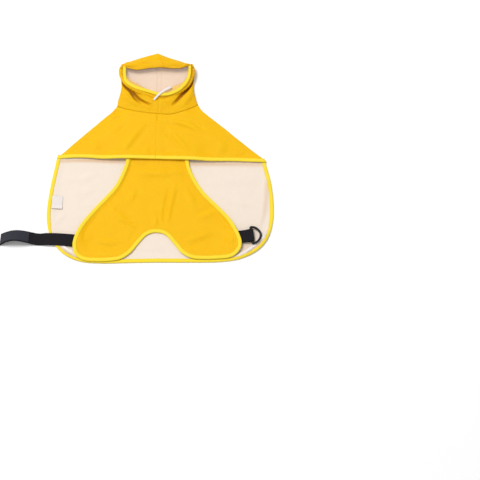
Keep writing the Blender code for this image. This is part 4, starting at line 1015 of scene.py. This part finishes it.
def hood_grid(side, half, fold):
    """Lines up one half from the cape's neck row, and the share that each lies at."""
    folds = half[fold - 1 : fold + 8, 0]
    front_neck = np.vstack([left_half[:left_fold, 0][::-1], right_half[:right_fold, 0]])
    back_neck = np.vstack([left_half[left_fold + 7 :, 0], right_half[right_fold + 7 :, 0][::-1]])
    shares = list(np.linspace(0, FOLD_BEGINS, THROAT_LINES + 1)[:-1])
    shares += list(3 - 0.3 * np.sin(FOLD_TURNS))
    shares += list(np.linspace(FOLD_ENDS, 6, BACK_LINES + 1)[1:])
    at = np.concatenate([k + np.arange(n) / n for k, n in enumerate(HOOD_STEPS)])
    at = np.append(at, len(HOOD_STEPS))
    grid = []
    for place, share in enumerate(shares):
        if FOLD_BEGINS <= share <= FOLD_ENDS:
            seam = folds[place - THROAT_LINES]
        else:
            x = (6 - share) / (6 - FOLD_ENDS) * folds[-1, 0]
            neck = back_neck
            if share < FOLD_BEGINS:
                x = NECK_MIDDLE + share / FOLD_BEGINS * (folds[0, 0] - NECK_MIDDLE)
                neck = front_neck
            seam = np.array([x] + [np.interp(x, neck[:, 0], neck[:, k]) for k in (1, 2)])
        points = hood_line(share)
        points[:, 2] = np.maximum(points[:, 2], CLOTH_LOWEST)
        points[:, 0] = HOOD_CENTRE + side * np.maximum(points[:, 0], 0.05)
        if side > 0:
            points[3:5, 1] -= CROWN_DROP * ease(3.2, 3.8, share) * ease(6, 5.1, share)
        points[:, 0] += THROAT_SHIFT * ease(2.6, 0, share) + CROWN_SHIFT * ease(3.65, 6, share)
        hang = np.interp(points[6, 0], *BROW_EDGE) - points[6, 1]
        points[5:, 1] += hang * ease(3.3, 3.65, share) * np.array([0.6, 1, 1])
        seam = seam + 0.35 * unit(points[0] - seam) * (1, 1, 0)
        grid.append(through(np.vstack([seam, points]), at))
    return np.array(grid), np.array(shares)[:, None]


def hood_half(side, half, fold):
    """One half of the hood with its folds and seams pressed in, and its painted shade and shadow.
    """
    grid, share = hood_grid(side, half, fold)
    height = grid[..., 2]
    base = height.copy()
    row = np.arange(grid.shape[1])[None]
    off_seams = ease(0, 3, row)
    folded = height + off_seams * ease(3.0, 2.7, share) * creased(grid, THROAT_CREASES)
    lowest = 4.8 + 1.4 * ease(2.4, 2.8, share)
    height[:] = np.maximum(folded, np.minimum(height, lowest))
    brow = ease(3.5, 3.9, share) * ease(15.5, 17.5, base) * ease(60, 56, row)
    # Painted shade where deep is above 0: in the pressed folds of throat and brow, along the neck
    # seam, a little over the whole hood, more over the brow towards its lower edge, and under the
    # casing
    throat_press, brow_press = (
        creased(grid, [crease for crease in table if len(crease[0]) > 5])
        for table in (THROAT_CREASES, BROW_CREASES)
    )
    deep = off_seams * ease(3.1, 2.8, share) * throat_press / -THROAT_SHADE_PRESS
    deep += brow * brow_press / -BROW_SHADE_PRESS
    deep += 0.6 * ease(1.4, 0.2, row) * ease(3.1, 2.9, share)
    deep += 0.04 + brow * (0.03 + 0.12 * ease(50, 59, row))
    deep += 0.45 * ease(40, 54, row) * ease(0.4, 2.4, share) * ease(2.95, 2.7, share)
    height += brow * (creased(grid, BROW_CREASES) + rumpled(grid, 16, 0.5, 9.0 + side))
    head = ease(3.35, 3.7, share) * ease(6, 2, base) * off_seams
    height += head * np.abs(creased(grid, HEAD_CREASES) + rumpled(grid, 14, 0.5, 11.0))
    throat = ease(3.0, 2.6, share) * off_seams
    height += throat * rumpled(grid, 12, 0.5, 13.0)
    # The cloth rolls down into its seams, and one seam allowance stands a little proud
    from_neck = np.linalg.norm(grid - grid[:, :1], axis=-1)
    height -= 0.6 * np.exp(-((from_neck / 1.3) ** 2)) * ease(3.0, 2.7, share)
    from_throat = np.linalg.norm(grid - grid[:1], axis=-1)
    height -= 0.25 * np.exp(-((from_throat / 0.9) ** 2)) * ease(3.0, 2.6, share)
    from_crown = np.linalg.norm(grid - grid[-1:], axis=-1)
    over_crown = ease(3.6, 4.0, share)
    height -= 0.15 * np.exp(-((from_crown / 0.9) ** 2)) * over_crown * ease(12, 15, base)
    if side > 0:
        height += 0.45 * ease(9, 7, from_throat) * throat
        proud = 0.35 + 0.75 * ease(6, 2, base)
        height += proud * ease(9, 7.6, from_crown) * over_crown
    height[:] = np.maximum(height, CLOTH_LOWEST)
    # Painted shadow on the lining under the brow's edge, where the painted light is below 0
    under_brow = ease(268, 282, grid[..., 1]) * ease(3.35, 3.6, share) * ease(14, 10, base)
    return grid, np.clip(deep, 0, 1) - 0.8 * under_brow


# A warmer copy of the same lining for in here: painted light that comes through the yellow cloth
hood_lining_painted_warm = pile_finish("hood_lining_painted_warm", (0.84, 0.63, 0.455), (0.80, 0.585, 0.41))
hood_sides = (
    ("right", 1, right_half, right_fold, (0.160, 0.128)),
    ("left", -1, left_half, left_fold, (0.166, 0.128)),
)
for side_name, side_sign, half, fold, cut in hood_sides:
    hood_points, hood_painted_light = hood_half(side_sign, half, fold)
    piece = grid_piece(
        f"hood_{side_name}_cloth",
        hood_points,
        [coated, hood_lining_painted_warm],
        wall=CLOTH_WALL,
        flip=side_sign > 0,
        painted_light=hood_painted_light,
    )
    stand_for(piece, f"hood_{side_name}")

# -------- elastic casing
# A tube of the same cloth with elastic in it runs round the hood's face edge, gathered in small
# puffs that are fullest at both corners of the brow. Columns: x, y, z, half width, half height.
# Gathers: place along one side in millimetres, depth, reach, slant.
CASING = [
    (63.4, 289.4, 14.6, 2.8, 2.4), (65.5, 286, 14.6, 3.4, 3.0), (66.2, 279, 13.6, 5.2, 4.4),
    (65.8, 268, 12.8, 5.4, 4.6), (62.0, 255.5, 12.6, 5.0, 4.3), (54, 242, 12.4, 4.8, 4.0),
    (38, 229.5, 11.9, 4.4, 3.4), (20, 221.2, 11.4, 4.2, 3.1), (-2, 218.3, 11.0, 4.0, 3.0),
    (-23, 223.5, 11.4, 4.2, 3.1), (-47, 233, 11.9, 4.4, 3.4), (-65, 245.5, 12.4, 4.8, 4.0),
    (-74, 257, 12.6, 5.0, 4.3), (-78, 268, 12.8, 5.3, 4.6), (-78.6, 279, 13.6, 5.0, 4.4),
    (-76.5, 286, 14.6, 3.4, 3.0), (-74.4, 289.4, 14.6, 2.8, 2.4),
]
CASING_STEP = 0.9
CASING_WALL = 0.6
CASING_GATHERS = [
    (2.5, 0.15, 1.3, 2.0), (6.0, 0.22, 1.5, -2.4), (11.5, 0.08, 1.4, 1.6), (17.0, 0.09, 1.6, 3.0),
    (22.0, 0.15, 1.5, -1.8), (25.5, 0.09, 1.6, 2.2), (29.0, 0.20, 1.5, 1.4),
    (34.5, 0.11, 1.8, -2.0), (40.0, 0.17, 1.6, 2.6), (47.0, 0.11, 1.8, 1.2),
    (53.0, 0.17, 1.6, -2.2), (60.0, 0.14, 1.6, 2.0), (66.5, 0.18, 1.5, 1.0),
    (73.0, 0.12, 1.7, -1.6), (79.0, 0.18, 1.5, 2.2), (86.0, 0.14, 1.6, 1.2),
    (93.0, 0.17, 1.5, -2.0), (99.0, 0.12, 1.6, 1.8), (105.0, 0.15, 1.5, 1.0),
]
# Reach of the facing that the casing is turned in with, under the visor: at x, this far inward
CASING_LIP = [(-90, -64, -52, -36, -14, 4, 20, 38, 52, 66), (3, 7, 10, 8, 3, 3, 9, 12, 8, 3)]
casing_path = evenly(through(CASING, 8), CASING_STEP)
casing_run = np.arange(len(casing_path)) * CASING_STEP
full_run = casing_run[-1]
along = unit(np.gradient(casing_path[:, :3], axis=0))
sideways = unit(np.cross(along, (0, 0, 1)))
upward = np.cross(sideways, along)
turns = np.linspace(0, 2 * math.pi, 33)[None, :]
from_end = np.minimum(casing_run, full_run - casing_run)[:, None]
closing = 1 - np.clip(from_end / 2.5, 0.02, 1)
girth = np.sqrt(np.clip(1 - closing**2, 0, 1)) * np.ones_like(turns)
for at, depth, reach, slant in CASING_GATHERS:
    for mirrored, shift in ((False, 0.0), (True, 1.7)):
        run = full_run - casing_run if mirrored else casing_run
        gap = run[:, None] - at - shift + slant * np.sin(turns + at)
        fade = 0.65 + 0.35 * np.cos(turns - 1.2 + at)
        girth = girth * (1 - depth * fade * np.exp(-((gap / reach) ** 2)))
gathered = 1 - girth
girth = (girth * (1 + 0.12 * uneven(casing_run, 6, 2.0)))[..., None]
casing_points = casing_path[:, None, :3] + girth * (
    np.cos(turns)[..., None] * (casing_path[:, 3:4] * sideways)[:, None]
    + np.sin(turns)[..., None] * (casing_path[:, 4:5] * upward)[:, None]
)
lip = np.interp(casing_path[:, 0], CASING_LIP[0], CASING_LIP[1]) * ease(2, 14, from_end[:, 0])
inward = np.clip(np.cos(turns[0] + 0.25), 0, 1) ** 3
casing_points += (lip[:, None] * inward)[..., None] * sideways[:, None]
# A painted shadow darkens it in a line along the outer side of the visor's binding, and in its
# gathers towards both ends
casing_painted_shade = np.interp(casing_path[:, :1], (-60, -10, 10, 50), (0.35, 0.2, 0.7, 0.9))
painted_shade_turn = np.interp(np.abs(casing_path[:, :1] + 5), (0, 60, 72), (1.9, 1.75, 1.4))
casing_painted_shade = casing_painted_shade * np.exp(-(((turns - painted_shade_turn) / 0.3) ** 2))
casing_painted_shade = np.clip(casing_painted_shade + 2.6 * gathered * ease(40, 20, from_end), 0, 0.9)
casing = grid_piece(
    "casing_cloth", casing_points, [coated], wall=CASING_WALL, closed=True, painted_light=casing_painted_shade
)
stand_for(casing, "hood_casing")

# -------- visor
# A clear soft sheet is sewn in under the brow, and its three free sides are bound with the same
# tape, which rests on the casing. Table: the binding's outer edge x, y.
VISOR_TOP = 286
VISOR_ROWS = 26
VISOR_EDGE = [
    (65, 286), (64.5, 271), (60, 253.5), (44, 232.5), (21, 220.5), (-2, 219.8),
    (-22, 226), (-50, 235.5), (-70.5, 249), (-75.5, 267), (-75.5, 286),
]
clear = new_finish("clear_sheet", (0.95, 0.945, 0.93), (0.93, 0.92, 0.90), 0.02, 0.16, 0.5)
raised(clear, nap(clear, 0.012), 0.0006)
shader_of(clear).inputs["Alpha"].default_value = 0.09


def visor_height(plan):
    """Middle of the sheet, a little lower under the brow."""
    return 15.9 - 0.004 * (plan[..., 1] - 225)


visor_edge = inset(through(VISOR_EDGE, 6), -TAPE_OVERHANG)
visor_top = visor_edge * (1, 0) + (0, VISOR_TOP)
visor_plan = between(visor_edge[:, None], visor_top[:, None], down(VISOR_ROWS))
visor_z = visor_height(visor_plan)
visor_z += rumpled(visor_plan, 22, 0.8, 15.0) * ease(3, 12, away_from(visor_plan, visor_edge))
visor = grid_piece("visor_sheet", np.dstack([visor_plan, visor_z]), [clear], wall=0.4)
stand_for(visor, "visor")
visor_rim = np.column_stack([visor_edge, visor_height(visor_edge)])
visor_inner = np.column_stack([inset(visor_edge, -8), visor_rim[:, 2]])
visor_frames = edge_frames(visor_rim, visor_inner, (0, 0, 1), spacing=1.6)
visor_tape, visor_stitches = bound("visor", visor_frames, False, 12.0, 4.2, 0.8)

# -------- throat tape
# A short white twill tape tacked at the throat lies over the casing and the visor's binding.
TAPE_PATH = [
    (-11.5, 211.5, 13.4), (-7.5, 215.2, 15.6), (-2, 220, 18.6), (4.5, 226, 19.4),
    (13, 232.4, 19.2), (24, 238, 18.6),
]
twill = new_finish("white_twill", (0.80, 0.75, 0.73), (0.74, 0.68, 0.66), 0.003, 0.85, 0.15)
raised(twill, ridges(twill, "X", 0.0009, turn=0.8), 0.0001)
tape_line = through(TAPE_PATH, 6)
tape_across = unit(np.cross(np.gradient(tape_line, axis=0), (0, 0, 1)))
tape_points = tape_line[:, None] + down(9, -2.1, 2.1) * tape_across[:, None]
throat_tape = grid_piece("throat_twill", tape_points, [twill], wall=0.6)
stand_for(throat_tape, "throat_tape")
